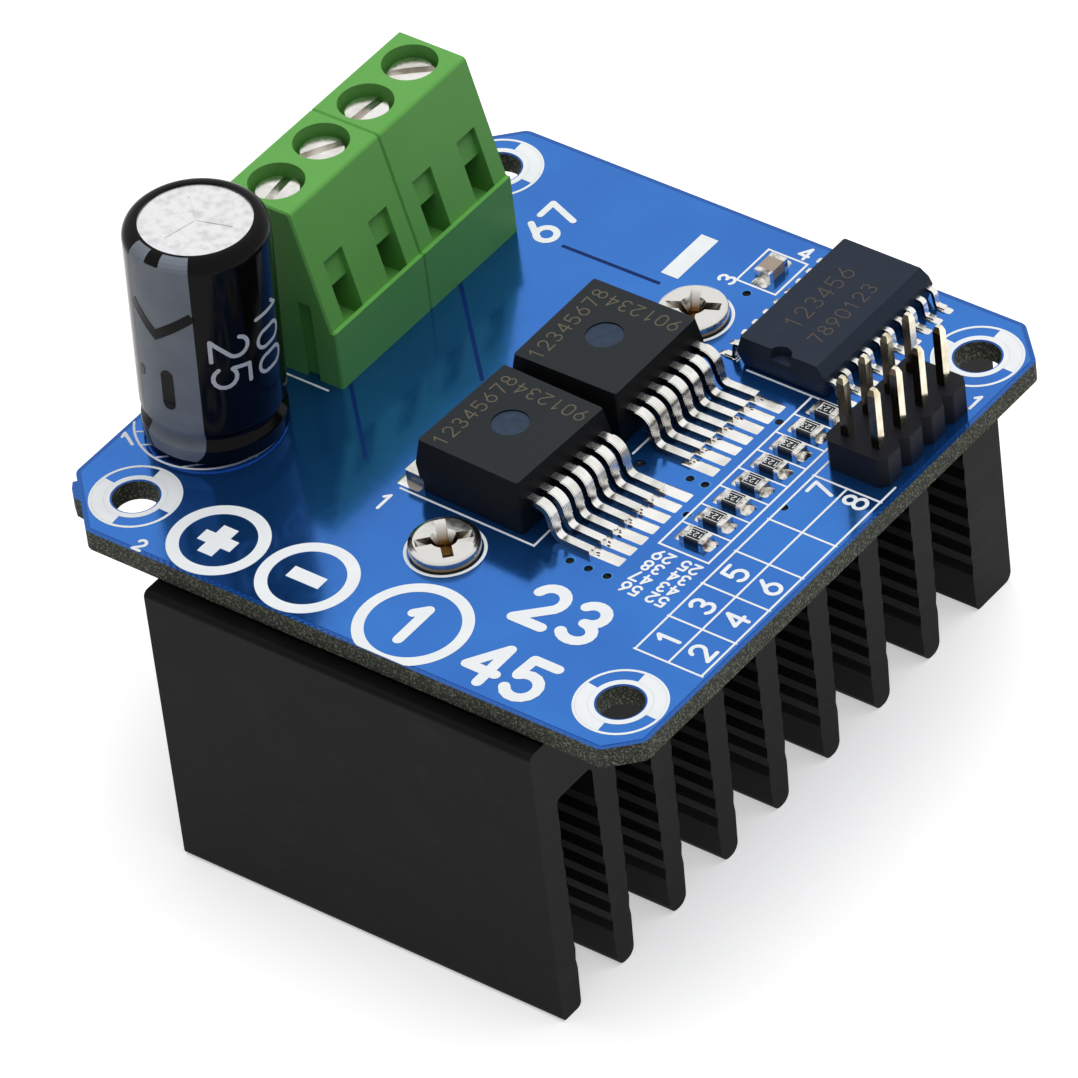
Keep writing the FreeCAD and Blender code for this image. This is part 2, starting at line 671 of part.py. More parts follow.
# two terminal chip parts: a bar with metal caps wrapped round its ends
def chip_part(x, y, length, width, height, along_y):
    """Bar and its two end caps, centred at x, y on the board."""
    hl, hw = 0.5 * length, 0.5 * width
    bar = box(-hl + CAP_SKIN, hl - CAP_SKIN, -hw + CAP_SKIN, hw - CAP_SKIN, CAP_SKIN, height - CAP_SKIN)
    raised = box(-hl + CAP_WRAP, hl - CAP_WRAP, -hw, hw, 0.5 * CAP_SKIN, height)
    bar = bar.fuse(raised)
    caps = []
    for s in (-1, 1):
        x0, x1 = sorted((s * hl, s * (hl - CAP_WRAP)))
        caps.append(box(x0, x1, -hw, hw, 0, height).cut(bar))
    out = []
    for shape in [bar] + caps:
        if along_y:
            shape = turned_about(shape, 0, 0, 90)
        shape.translate(V(x, y, BOARD_TOP))
        out.append(shape)
    return out[0], out[1:]


# can capacitor, drawn upright about its own axis, then leaned as a whole
def lean(shape):
    out = shape.copy()
    heading = math.radians(CAN_LEAN_HEADING)
    axis = V(-math.sin(heading), math.cos(heading), 0)
    out.rotate(V(0, 0, 0), axis, CAN_LEAN)
    out.translate(V(CAN_X, CAN_Y, BOARD_TOP))
    return out


def make_capacitor():
    r = CAN_R
    z0 = CAN_LIFT
    inner = r - CAN_WALL
    crimp_lo = CRIMP_Z - CRIMP_R
    crimp_hi = CRIMP_Z + CRIMP_R
    neck = r - CRIMP_DEPTH
    can_profile = [(0.0, CAN_TOP, 0.0), (0.0, z0 + BUNG_H, 0.0), (neck - CAN_WALL, z0 + BUNG_H, 0.0),
                   (inner - 0.15, crimp_lo, 0.0), (inner, z0 + 0.3, 0.0), (inner, z0, 0.0),
                   (r, z0, 0.15), (r, crimp_lo, 0.35), (neck, CRIMP_Z, 0.3), (r, crimp_hi, 0.35),
                   (r, CAN_TOP, SHOULDER_R)]
    can = turned(can_profile, 0, 0, 0)
    for angle in (18.0, 138.0, 258.0):
        groove = box(0.0, 0.5 * VENT_LENGTH, -0.5 * VENT_W, 0.5 * VENT_W, CAN_TOP - VENT_DEPTH, CAN_TOP + 1)
        can = can.cut(turned_about(groove, 0, 0, angle))
    so = r + SLEEVE_T
    shoulder = SHOULDER_R + SLEEVE_T
    lip = r - SLEEVE_LIP
    sleeve_profile = [(r, z0 + 0.12, 0.0), (so, z0 + 0.12, 0.0), (so, crimp_lo, 0.35),
                      (neck + SLEEVE_T, CRIMP_Z, 0.3), (so, crimp_hi, 0.35),
                      (so, CAN_TOP + SLEEVE_T, shoulder), (lip, CAN_TOP + SLEEVE_T, 0.0),
                      (lip, CAN_TOP, 0.0), (r, CAN_TOP, SHOULDER_R), (r, crimp_hi, 0.35),
                      (neck, CRIMP_Z, 0.3), (r, crimp_lo, 0.35)]
    sleeve = turned(sleeve_profile, 0, 0, 0)
    bung_profile = [(0.0, z0 + 0.1, 0.0), (inner - 0.35, z0 + 0.1, 0.3), (inner - 0.35, z0 + 0.9, 0.0),
                    (neck - CAN_WALL - 0.1, z0 + BUNG_H, 0.0), (0.0, z0 + BUNG_H, 0.0)]
    bung = turned(bung_profile, 0, 0, 0)
    leads = []
    for s in (-1, 1):
        x = s * 0.5 * CAN_LEAD_PITCH
        leads.append(disc(CAN_LEAD_R, x, 0, -BOARD_T - CAN_LEAD_BELOW, z0 + 1.2))
        bung = bung.cut(disc(CAN_LEAD_R, x, 0, -1, z0 + 1.2))
    return lean(can), lean(sleeve), lean(bung), [lean(lead) for lead in leads]


# screw terminal
def clamp_cage(k):
    """Square loop that rises on the screw: floor, two sides and a threaded crown."""
    y = pole_y(k)
    hw = 0.5 * CAGE_WIDTH
    z0 = BOARD_TOP + CAGE_Z0
    z1 = BOARD_TOP + CAGE_WINDOW_TOP
    z2 = BOARD_TOP + CAGE_TOP
    corners = [(y - hw, z0, 0.5), (y + hw, z0, 0.5), (y + hw, z2, 0.4), (y - hw, z2, 0.4)]
    cage = drawn(corners, in_yz(CAGE_X0), V(CAGE_X1 - CAGE_X0, 0, 0))
    wi = CAGE_WINDOW_HALF
    sill = z0 + CAGE_FLOOR_T
    window = [(y - wi, sill, 0.3), (y + wi, sill, 0.3), (y + wi, z1, 0.0), (y - wi, z1, 0.0)]
    cage = cage.cut(drawn(window, in_yz(CAGE_X0 - 1), V(CAGE_X1 - CAGE_X0 + 2, 0, 0)))
    # ridges across the floor that bite the wire
    for i in range(4):
        x = CAGE_X0 + (i + 0.8) * (CAGE_X1 - CAGE_X0) / 4.6
        groove = [(x - 0.15, sill + 0.01, 0.0), (x, sill - 0.15, 0.0), (x + 0.15, sill + 0.01, 0.0)]
        cage = cage.cut(drawn(groove, in_xz(y - wi + 0.3), V(0, 2 * wi - 0.6, 0)))
    return cage.cut(disc(CLAMP_SCREW_R + RUNNING_FIT, POLE_X, y, z1 - 0.01, z2 + 1))


def clamp_screw(k):
    """Slotted screw whose tip stands on the contact strip."""
    y = pole_y(k)
    top = CLAMP_HEAD_TOP
    under = CLAMP_HEAD_UNDER
    tip = STRIP_TOP
    profile = [(0.0, tip, 0.0), (CLAMP_SCREW_R - 0.3, tip, 0.0), (CLAMP_SCREW_R, tip + 0.3, 0.0),
               (CLAMP_SCREW_R, under, 0.0),
               (CLAMP_HEAD_R - 0.1, under, 0.0), (CLAMP_HEAD_R, under + 0.1, 0.0),
               (CLAMP_HEAD_R, top - 0.28, 0.0), (CLAMP_HEAD_R - 0.22, top - 0.06, 0.0), (0.0, top, 0.0)]
    screw = turned(profile, POLE_X, y, BOARD_TOP)
    reach = CLAMP_HEAD_R + 1
    slot = box(POLE_X - reach, POLE_X + reach, y - 0.5 * CLAMP_SLOT_W, y + 0.5 * CLAMP_SLOT_W,
               BOARD_TOP + top - CLAMP_SLOT_DEPTH, BOARD_TOP + top + 1)
    return screw.cut(turned_about(slot, POLE_X, y, CLAMP_SLOT_ANGLES[k]))


def contact_strip(k):
    """Bent contact: flat under the screw tip, leg down behind the cage, foot, then the solder pin."""
    y = pole_y(k)
    z = BOARD_TOP
    leg_in = STRIP_LEG_X + STRIP_LEG_T
    foot_top = FLOOR_H + STRIP_T
    px0, px1 = POLE_X - 0.5 * SOLDER_PIN_X, POLE_X + 0.5 * SOLDER_PIN_X
    corners = [(STRIP_FRONT_X, z + STRIP_TOP, 0.15), (STRIP_LEG_X, z + STRIP_TOP, 0.45),
               (STRIP_LEG_X, z + FLOOR_H, 0.3), (px1 + 0.2, z + FLOOR_H, 0.0),
               (px1 + 0.2, z + foot_top, 0.0), (leg_in, z + foot_top, 0.12),
               (leg_in, z + STRIP_Z, 0.12), (STRIP_FRONT_X, z + STRIP_Z, 0.15)]
    strip = drawn(corners, in_xz(y - 0.5 * STRIP_W), V(0, STRIP_W, 0))
    low = z - BOARD_T - SOLDER_PIN_BELOW
    hy = 0.5 * SOLDER_PIN_Y
    levels = []
    for sx, sy, level in ((0.5, 0.5, low), (1.0, 1.0, low + 0.5), (1.0, 1.0, z + foot_top)):
        xm = POLE_X
        ax, ay = 0.5 * (px1 - px0) * sx, hy * sy
        loop = [V(xm - ax, y - ay, level), V(xm + ax, y - ay, level),
                V(xm + ax, y + ay, level), V(xm - ax, y + ay, level)]
        levels.append(Part.makePolygon(loop + [loop[0]]))
    return strip.fuse(Part.makeLoft(levels, True, True))


def key_outline(y, grow, depth):
    """Dovetail that joins two blocks side by side, seen from above; y is the joint face."""
    n, w = 0.5 * KEY_NECK + grow, 0.5 * KEY_WIDE + grow
    return [(KEY_X - n, y - 0.01, 0.0), (KEY_X - w, y + depth, 0.0),
            (KEY_X + w, y + depth, 0.0), (KEY_X + n, y - 0.01, 0.0)]


def block_side(inset):
    """Side view of the housing: lip, ledge, slanted face, top; drawn smaller by inset, the foot apart."""
    front = BLOCK_FRONT_X - inset
    ledge_x = BLOCK_FRONT_X - LIP_LEDGE - inset
    lip = BOARD_TOP + LIP_HEIGHT - inset
    top = BOARD_TOP + BLOCK_HEIGHT - inset
    back = BLOCK_BACK_X + inset
    return [(back, BOARD_TOP, 0.0), (front, BOARD_TOP, 0.0), (front, lip, 0.0),
            (ledge_x, lip, 0.0), (BLOCK_TOP_FRONT_X - inset, top, BLOCK_EDGE_R),
            (back, top, BLOCK_EDGE_R)]


def terminal_block(first):
    """Moulded housing of two poles, the first of them at index first."""
    y0 = pole_y(first) - 0.5 * POLE_PITCH
    y1 = y0 + 2 * POLE_PITCH
    z = BOARD_TOP
    ledge_x = BLOCK_FRONT_X - LIP_LEDGE
    b = BLOCK_END_BEVEL
    block = drawn(block_side(0.0), in_xz(y0 + b), V(0, y1 - y0 - 2 * b, 0))
    for near, far in ((y0 + b, y0), (y1 - b, y1)):
        end = [outline(block_side(0.0), in_xz(near)), outline(block_side(b), in_xz(far))]
        block = block.fuse(Part.makeLoft(end, True, True))
    lean_in = (BLOCK_TOP_FRONT_X - ledge_x) / (BLOCK_HEIGHT - LIP_HEIGHT)
    hw = 0.5 * CAGE_WIDTH + SLIDING_FIT
    cavity_top = SHAFT_TOP
    for k in (first, first + 1):
        y = pole_y(k)
        block = block.cut(disc(DRIVER_HOLE_R, POLE_X, y, z + cavity_top - 0.5, z + BLOCK_HEIGHT + 1))
        # cage shaft, and the narrower pocket behind it for the contact's leg
        shaft = box(CAGE_X0 - SLIDING_FIT, CAGE_X1 + SLIDING_FIT, y - hw, y + hw, z + FLOOR_H, z + cavity_top)
        block = block.cut(shaft)
        sw = 0.5 * STRIP_W + SLIDING_FIT
        block = block.cut(box(STRIP_LEG_X, CAGE_X0, y - sw, y + sw, z + FLOOR_H, z + STRIP_TOP))
        pin_x = 0.5 * SOLDER_PIN_X + SLIDING_FIT
        pin_y = 0.5 * SOLDER_PIN_Y + SLIDING_FIT
        block = block.cut(box(POLE_X - pin_x, POLE_X + pin_x, y - pin_y, y + pin_y, z - 1, z + FLOOR_H + 1))
        # wire entry: a tall recess in the slanted face whose lower half goes through to the cage
        ws = 0.5 * WIRE_SLOT_W
        top_z = LIP_HEIGHT + SLOT_RECESS_H
        recess = [(ledge_x + 2, z + LIP_HEIGHT, 0.0), (ledge_x - SLOT_RECESS_IN, z + LIP_HEIGHT, 0.0),
                  (ledge_x - SLOT_RECESS_IN + lean_in * SLOT_RECESS_H, z + top_z, 0.0),
                  (ledge_x + 2, z + top_z, 0.0)]
        block = block.cut(drawn(recess, in_xz(y - ws), V(0, 2 * ws, 0)))
        slot_z = z + LIP_HEIGHT
        block = block.cut(box(CAGE_X1 - 0.5, ledge_x, y - ws, y + ws,
                              slot_z - SLOT_BELOW_LIP, slot_z + WIRE_SLOT_H))
    groove = key_outline(y0, SLIDING_FIT, KEY_DEPTH + SLIDING_FIT)
    block = block.cut(drawn(groove, in_xy(z - 1), V(0, 0, KEY_TOP + 1 + SLIDING_FIT)))
    return block.fuse(drawn(key_outline(y1, 0.0, KEY_DEPTH), in_xy(z), V(0, 0, KEY_TOP)))


save("circuit_board", make_board())
save("heatsink", make_heatsink())
save("thermal_pad", make_thermal_pad())
save("heatsink_screws", [make_bolt(BOLT_X, -BOLT_Y, RECESS_ANGLE_FRONT),
                         make_bolt(BOLT_X, BOLT_Y, RECESS_ANGLE_BACK)])

slug = chip_slug()
leads = chip_leads()
body = chip_body(slug, leads)
for side, name in ((-1, "front"), (1, "back")):
    save("power_chip_" + name + "_body", place_chip(body, side))
    save("power_chip_" + name + "_heat_tab", place_chip(slug, side))
    save("power_chip_" + name + "_leads", [place_chip(lead, side) for lead in leads])

side_leads = buffer_leads()
save("buffer_chip_body", buffer_body(side_leads))
save("buffer_chip_leads", side_leads)

pins = header_pins()
save("header_base", header_base(pins))
save("header_pins", pins)

bars = []
caps = []
for i in range(RES_COUNT):
    bar, ends = chip_part(RES_X, RES_FIRST_Y + i * RES_PITCH, RES_LENGTH, RES_WIDTH, RES_HEIGHT, False)
    bars.append(bar)
    caps.extend(ends)
save("resistor_bodies", bars)
save("resistor_end_caps", caps)
bar, ends = chip_part(CHIP_CAP_X, CHIP_CAP_Y, CHIP_CAP_L, CHIP_CAP_W, CHIP_CAP_H, True)
save("chip_capacitor_body", bar)
save("chip_capacitor_end_caps", ends)

can, sleeve, bung, can_leads = make_capacitor()
save("capacitor_can", can)
save("capacitor_sleeve", sleeve)
save("capacitor_bung", bung)
save("capacitor_leads", can_leads)

save("terminal_block_front", terminal_block(0))
save("terminal_block_back", terminal_block(2))
save("terminal_contacts", [contact_strip(k) for k in range(POLES)])
for k in range(POLES):
    save("clamp_screw_" + str(k + 1), clamp_screw(k))
    save("clamp_cage_" + str(k + 1), clamp_cage(k))
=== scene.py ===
"""Looks of a motor driver module: a blue circuit board bolted to a black finned heatsink.

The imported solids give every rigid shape. This script gives them their finishes, and adds what lies on
them as thin layers: the copper under the solder mask, white print, solder, and the print on the can.
"""

import math

import bpy
import numpy as np
from mathutils import Matrix, Vector


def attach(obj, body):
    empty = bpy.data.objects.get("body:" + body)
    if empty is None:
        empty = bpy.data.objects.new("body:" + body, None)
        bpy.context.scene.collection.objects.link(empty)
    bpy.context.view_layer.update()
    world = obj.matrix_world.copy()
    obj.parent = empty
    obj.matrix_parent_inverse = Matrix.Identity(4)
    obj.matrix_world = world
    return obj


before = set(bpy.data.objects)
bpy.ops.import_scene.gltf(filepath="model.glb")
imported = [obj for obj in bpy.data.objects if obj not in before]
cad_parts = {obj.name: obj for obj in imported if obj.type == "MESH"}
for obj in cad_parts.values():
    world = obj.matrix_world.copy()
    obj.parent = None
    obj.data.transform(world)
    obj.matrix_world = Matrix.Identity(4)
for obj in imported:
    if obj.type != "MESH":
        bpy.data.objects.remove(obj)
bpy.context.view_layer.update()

# Lengths are millimetres in the object's frame; MM turns them into metres where a mesh is made.
MM = 0.001
BOARD_TOP = 25.8
BOARD_BOTTOM = 24.2
COPPER_TOP = BOARD_TOP + 0.03
INK_TOP = COPPER_TOP + 0.02
HALF_BOARD = 25.0

MOUNT_HOLES = [(0.75 + sx * 20.5, sy * 20.5) for sx in (-1, 1) for sy in (-1, 1)]
MOUNT_HOLE_R = 1.65
BOLTS = [(1.9, -14.15), (1.9, 14.15)]
BOLT_HEAD_TOP = BOARD_TOP + 1.08
VIAS = [(9.84, -10.78), (11.39, -10.80), (12.94, -10.78), (11.82, 0.15), (13.06, 0.16),
        (13.85, -2.97), (7.96, -0.30), (3.59, 18.03), (19.07, 0.93)]
FILLED_VIA = (13.58, 8.01)
VIA_R = 0.3

# middle of each power chip, and how far it is turned in degrees
CHIPS = [(1.3, -5.35, -2.0), (1.3, 5.35, 0.5)]
CHIP_TOP = BOARD_TOP + 4.4
CHIP_PAD_X = 11.7
TAB_PAD_X = -4.25
LEAD_PITCH = 1.27
# from a chip's middle to where its lead toes end; the flux lies just past them
LEAD_ENDS = 9.45
FLUX_X = 10.98
BUFFER = (11.35, 17.8)
BUFFER_TOP = BOARD_TOP + 2.55
BUFFER_PAD_REACH = 4.95
HEADER_PINS = [(21.43 + 2.54 * (i - 0.5), 10.88 + 2.54 * (j - 1.5)) for i in range(2) for j in range(4)]
RESISTORS = [(15.95, -4.77 + 2.15 * k) for k in range(8)]
RESISTOR_TOP = BOARD_TOP + 0.55
RESISTOR_PAD_REACH = 1.05
CHIP_CAP = (3.75, 20.75)
CHIP_CAP_PAD_REACH = 1.15
CAN = (-19.85, -11.45)
# how far the can leans, and the bearing that it leans to, in degrees
CAN_LEAN = (2.0, 41.5)
SLEEVE_R = 5.08
# y of the terminal's poles, and x of its pins
POLES = [-1.85 + 5.0 * k for k in range(4)]
TERMINAL_PIN_X = -20.1


def to_linear(code):
    """Linear red, green, blue and alpha of an sRGB colour written as six hex digits."""
    srgb = [int(code[i:i + 2], 16) / 255 for i in (0, 2, 4)]
    return [c / 12.92 if c <= 0.04045 else ((c + 0.055) / 1.055) ** 2.4 for c in srgb] + [1.0]


def per_mm(size):
    """Texture scale that gives one feature in this many millimetres, as coordinates are in metres."""
    return 1.0 / (size * MM)


def add(tree, kind, inputs=(), **settings):
    """Adds a shader node with its settings; an input is a plain value or the socket that feeds it."""
    made = tree.nodes.new("ShaderNode" + kind)
    for name, value in settings.items():
        setattr(made, name, value)
    for key, value in dict(inputs).items():
        if isinstance(value, bpy.types.NodeSocket):
            tree.links.new(value, made.inputs[key])
        else:
            made.inputs[key].default_value = value
    return made


def maths(tree, operation, *values):
    """Socket that holds the result of one operation on sockets or plain numbers."""
    return add(tree, "Math", dict(enumerate(values)), operation=operation).outputs[0]


def finish_of(name, **sockets):
    """A material with one principled shader, whose plain numbers are set on the shader's own sockets."""
    made = bpy.data.materials.new(name)
    made.use_nodes = True
    tree = made.node_tree
    tree.nodes.clear()
    shader = add(tree, "BsdfPrincipled", {key.replace("_", " "): value for key, value in sockets.items()})
    add(tree, "OutputMaterial", {"Surface": shader.outputs[0]})
    place = add(tree, "TexCoord")
    return made, tree, shader, place.outputs["Object"], place.outputs["Normal"]


def blend_colours(tree, factor, first, second):
    """Colour socket that runs from the first colour to the second as the factor runs from 0 to 1. Each colour
    is a socket or an sRGB code."""
    first, second = (to_linear(tone) if isinstance(tone, str) else tone for tone in (first, second))
    return add(tree, "Mix", {0: factor, 6: first, 7: second}, data_type="RGBA").outputs[2]


def feed(tree, socket, shader, name):
    """Leads a socket into the shader's input of that name."""
    tree.links.new(socket, shader.inputs[name])


def speckle(tree, place, size, detail=3.0, stretch=(1, 1, 1)):
    """Noise of one grain in so many millimetres, drawn out along the axes where stretch is above 1."""
    drawn = add(tree, "Mapping", {"Vector": place, "Scale": [1.0 / s for s in stretch]})
    return add(tree, "TexNoise", {"Vector": drawn.outputs[0], "Scale": per_mm(size), "Detail": detail}).outputs[0]


def in_range(tree, value, low, high, to_low=0.0, to_high=1.0):
    """Socket with the value's place between low and high, moved onto the second range and held inside it."""
    return add(tree, "MapRange", {0: value, 1: low, 2: high, 3: to_low, 4: to_high}).outputs[0]


def rough_and_bumpy(tree, shader, grain, rough, bump_mm):
    """Roughness that varies with the grain between two values, and a bump of so many millimetres."""
    feed(tree, in_range(tree, grain, 0.3, 0.7, *rough), shader, "Roughness")
    relief = add(tree, "Bump", {"Strength": 1.0, "Distance": bump_mm * MM, "Height": grain})
    feed(tree, relief.outputs[0], shader, "Normal")


def moulded(name, colour, second, rough, bump_mm, size=0.25, **sockets):
    """Moulded, printed or cast surface: two close tones in wide clouds, and over them a fine grain that
    gives the roughness and relief of the mould."""
    made, tree, shader, place, _ = finish_of(name, **sockets)
    grain = speckle(tree, place, size)
    wide = speckle(tree, place, size * 14, 2.0)
    tone = blend_colours(tree, wide, colour, second)
    feed(tree, tone, shader, "Base Color")
    rough_and_bumpy(tree, shader, grain, rough, bump_mm)
    return made


def metal(name, colour, second, rough, bump_mm, size=0.3, stretch=(1, 1, 1), cut=None, **sockets):
    """Bare or plated metal: clean reflection broken by faint tarnish and by the marks of its making. Given a side
    colour, the sides that face along Y take it: partly the duller metal where strip was sheared, partly painted shade."""
    made, tree, shader, place, normal = finish_of(name, Metallic=1.0, **sockets)
    grain = speckle(tree, place, size, 4.0, stretch)
    stain = speckle(tree, place, size * 6, 2.0)
    tone = blend_colours(tree, in_range(tree, stain, 0.45, 0.75), colour, second)
    # painted shade in part: sides that face along Y take the darker colour of a sheared edge
    if cut:
        across = maths(tree, "ABSOLUTE", add(tree, "SeparateXYZ", {0: normal}).outputs[1])
        tone = blend_colours(tree, in_range(tree, across, 0.7, 0.8), tone, cut)
    feed(tree, tone, shader, "Base Color")
    rough_and_bumpy(tree, shader, grain, rough, bump_mm)
    return made


def solder_mask_over_laminate():
    """Blue epoxy solder mask straight on woven glass laminate: the eye sees the weave as a fine grid of
    dots through a glossy coat, and on the sawn edges and hole walls the bare olive grey laminate."""
    made, tree, shader, place, normal = finish_of(
        "solder_mask_over_glass_laminate", Coat_Roughness=0.05, Specular_IOR_Level=0.3)
    split = add(tree, "SeparateXYZ", {0: place})
    facing = add(tree, "SeparateXYZ", {0: normal}).outputs[2]
    is_face = maths(tree, "GREATER_THAN", maths(tree, "ABSOLUTE", facing), 0.7)
    # one glass yarn in 0.55 mm both ways
    waves = [maths(tree, "SINE", maths(tree, "MULTIPLY", axis, 2 * math.pi * per_mm(0.55)))
             for axis in (split.outputs[0], split.outputs[1])]
    weave = in_range(tree, maths(tree, "MULTIPLY", *waves), -1.0, 1.0)
    mask = blend_colours(tree, weave, "1A55A5", "1F5EB0")
    sawn = speckle(tree, place, 0.16, 4.0)
    edge = blend_colours(tree, in_range(tree, sawn, 0.5, 0.78), "2B2D27", "9CA28C")
    feed(tree, blend_colours(tree, is_face, edge, mask), shader, "Base Color")
    feed(tree, in_range(tree, is_face, 0.0, 1.0, 0.0, 0.7), shader, "Metallic")
    feed(tree, in_range(tree, is_face, 0.0, 1.0, 0.75, 0.24), shader, "Roughness")
    feed(tree, in_range(tree, is_face, 0.0, 1.0, 0.0, 0.25), shader, "Coat Weight")
    height = add(tree, "Mix", {0: is_face, 2: sawn, 3: weave}).outputs[0]
    relief = add(tree, "Bump", {"Strength": 0.8, "Distance": 0.02 * MM, "Height": height})
    feed(tree, relief.outputs[0], shader, "Normal")
    return made


def solder_mask_over_copper():
    """Blue solder mask on a copper sheet: the copper throws back white surroundings as a bright, slightly
    soft blue, and goes deep blue where it reflects something dark."""
    made, tree, shader, place, _ = finish_of(
        "solder_mask_over_copper_pour", Metallic=0.86, Coat_Weight=0.3, Coat_Roughness=0.08)
    cloud = speckle(tree, place, 9.0, 3.0)
    ripple = speckle(tree, place, 0.5, 2.0)
    tone = blend_colours(tree, in_range(tree, cloud, 0.35, 0.65), "286CC4", "2C76CE")
    feed(tree, tone, shader, "Base Color")
    rough_and_bumpy(tree, shader, ripple, (0.12, 0.17), 0.0015)
    return made


def black_anodised_aluminium():
    """Extruded aluminium, black anodised: satin black with faint die lines along the extrusion."""
    made, tree, shader, place, _ = finish_of("black_anodised_extruded_aluminium", Specular_IOR_Level=0.07)
    lines = speckle(tree, place, 0.16, 3.0, (40, 40, 1))
    dust = speckle(tree, place, 2.5, 4.0)
    tone = blend_colours(tree, in_range(tree, dust, 0.5, 0.8), "0D0D0D", "171716")
    feed(tree, tone, shader, "Base Color")
    rough_and_bumpy(tree, shader, lines, (0.34, 0.46), 0.005)
    return made


def chip_compound():
    """Black epoxy moulding compound: fine matt grain from the mould, painted shade that makes the sides blacker than
    the top, and in the round ejector mark a blue grey painted sheen on its smoother floor."""
    made, tree, shader, place, normal = finish_of("black_epoxy_moulding_compound", Specular_IOR_Level=0.13)
    grain = speckle(tree, place, 0.12, 3.0)
    height = add(tree, "SeparateXYZ", {0: place}).outputs[2]
    up = add(tree, "SeparateXYZ", {0: normal}).outputs[2]
    # the mark's floor is level and lies a little below the top
    below = maths(tree, "LESS_THAN", height, (CHIP_TOP - 0.06) * MM)
    above = maths(tree, "GREATER_THAN", height, (CHIP_TOP - 0.3) * MM)
    flat = maths(tree, "GREATER_THAN", up, 0.9)
    sunk = maths(tree, "MULTIPLY", maths(tree, "MULTIPLY", below, above), flat)
    tone = blend_colours(tree, grain, "212427", "2E3135")
    # painted shade: faces that turn from upward to sideways are painted nearly black
    tone = blend_colours(tree, in_range(tree, up, 0.35, 0.8), "0B0C0D", tone)
    # painted sheen: the ejector mark's level floor is painted blue grey
    patch = blend_colours(tree, speckle(tree, place, 0.5), "283341", "3C4A5C")
    feed(tree, blend_colours(tree, sunk, tone, patch), shader, "Base Color")
    rough_and_bumpy(tree, shader, grain, (0.5, 0.66), 0.006)
    return made


def plated_bolt():
    """Nickel plated steel pan head: bright and slightly uneven, with painted shade that turns yellow brown deep in the
    cross recess."""
    made, tree, shader, place, _ = finish_of("nickel_plated_steel_bolt", Metallic=1.0)
    height = add(tree, "SeparateXYZ", {0: place}).outputs[2]
    # painted shade: the deeper in the cross recess, the darker and browner
    recess_shade = in_range(tree, height, (BOLT_HEAD_TOP - 0.9) * MM, (BOLT_HEAD_TOP - 0.12) * MM)
    tone = blend_colours(tree, recess_shade, "5E4119", "DFDDD9")
    feed(tree, tone, shader, "Base Color")
    rough_and_bumpy(tree, shader, speckle(tree, place, 0.35), (0.12, 0.24), 0.006)
    return made


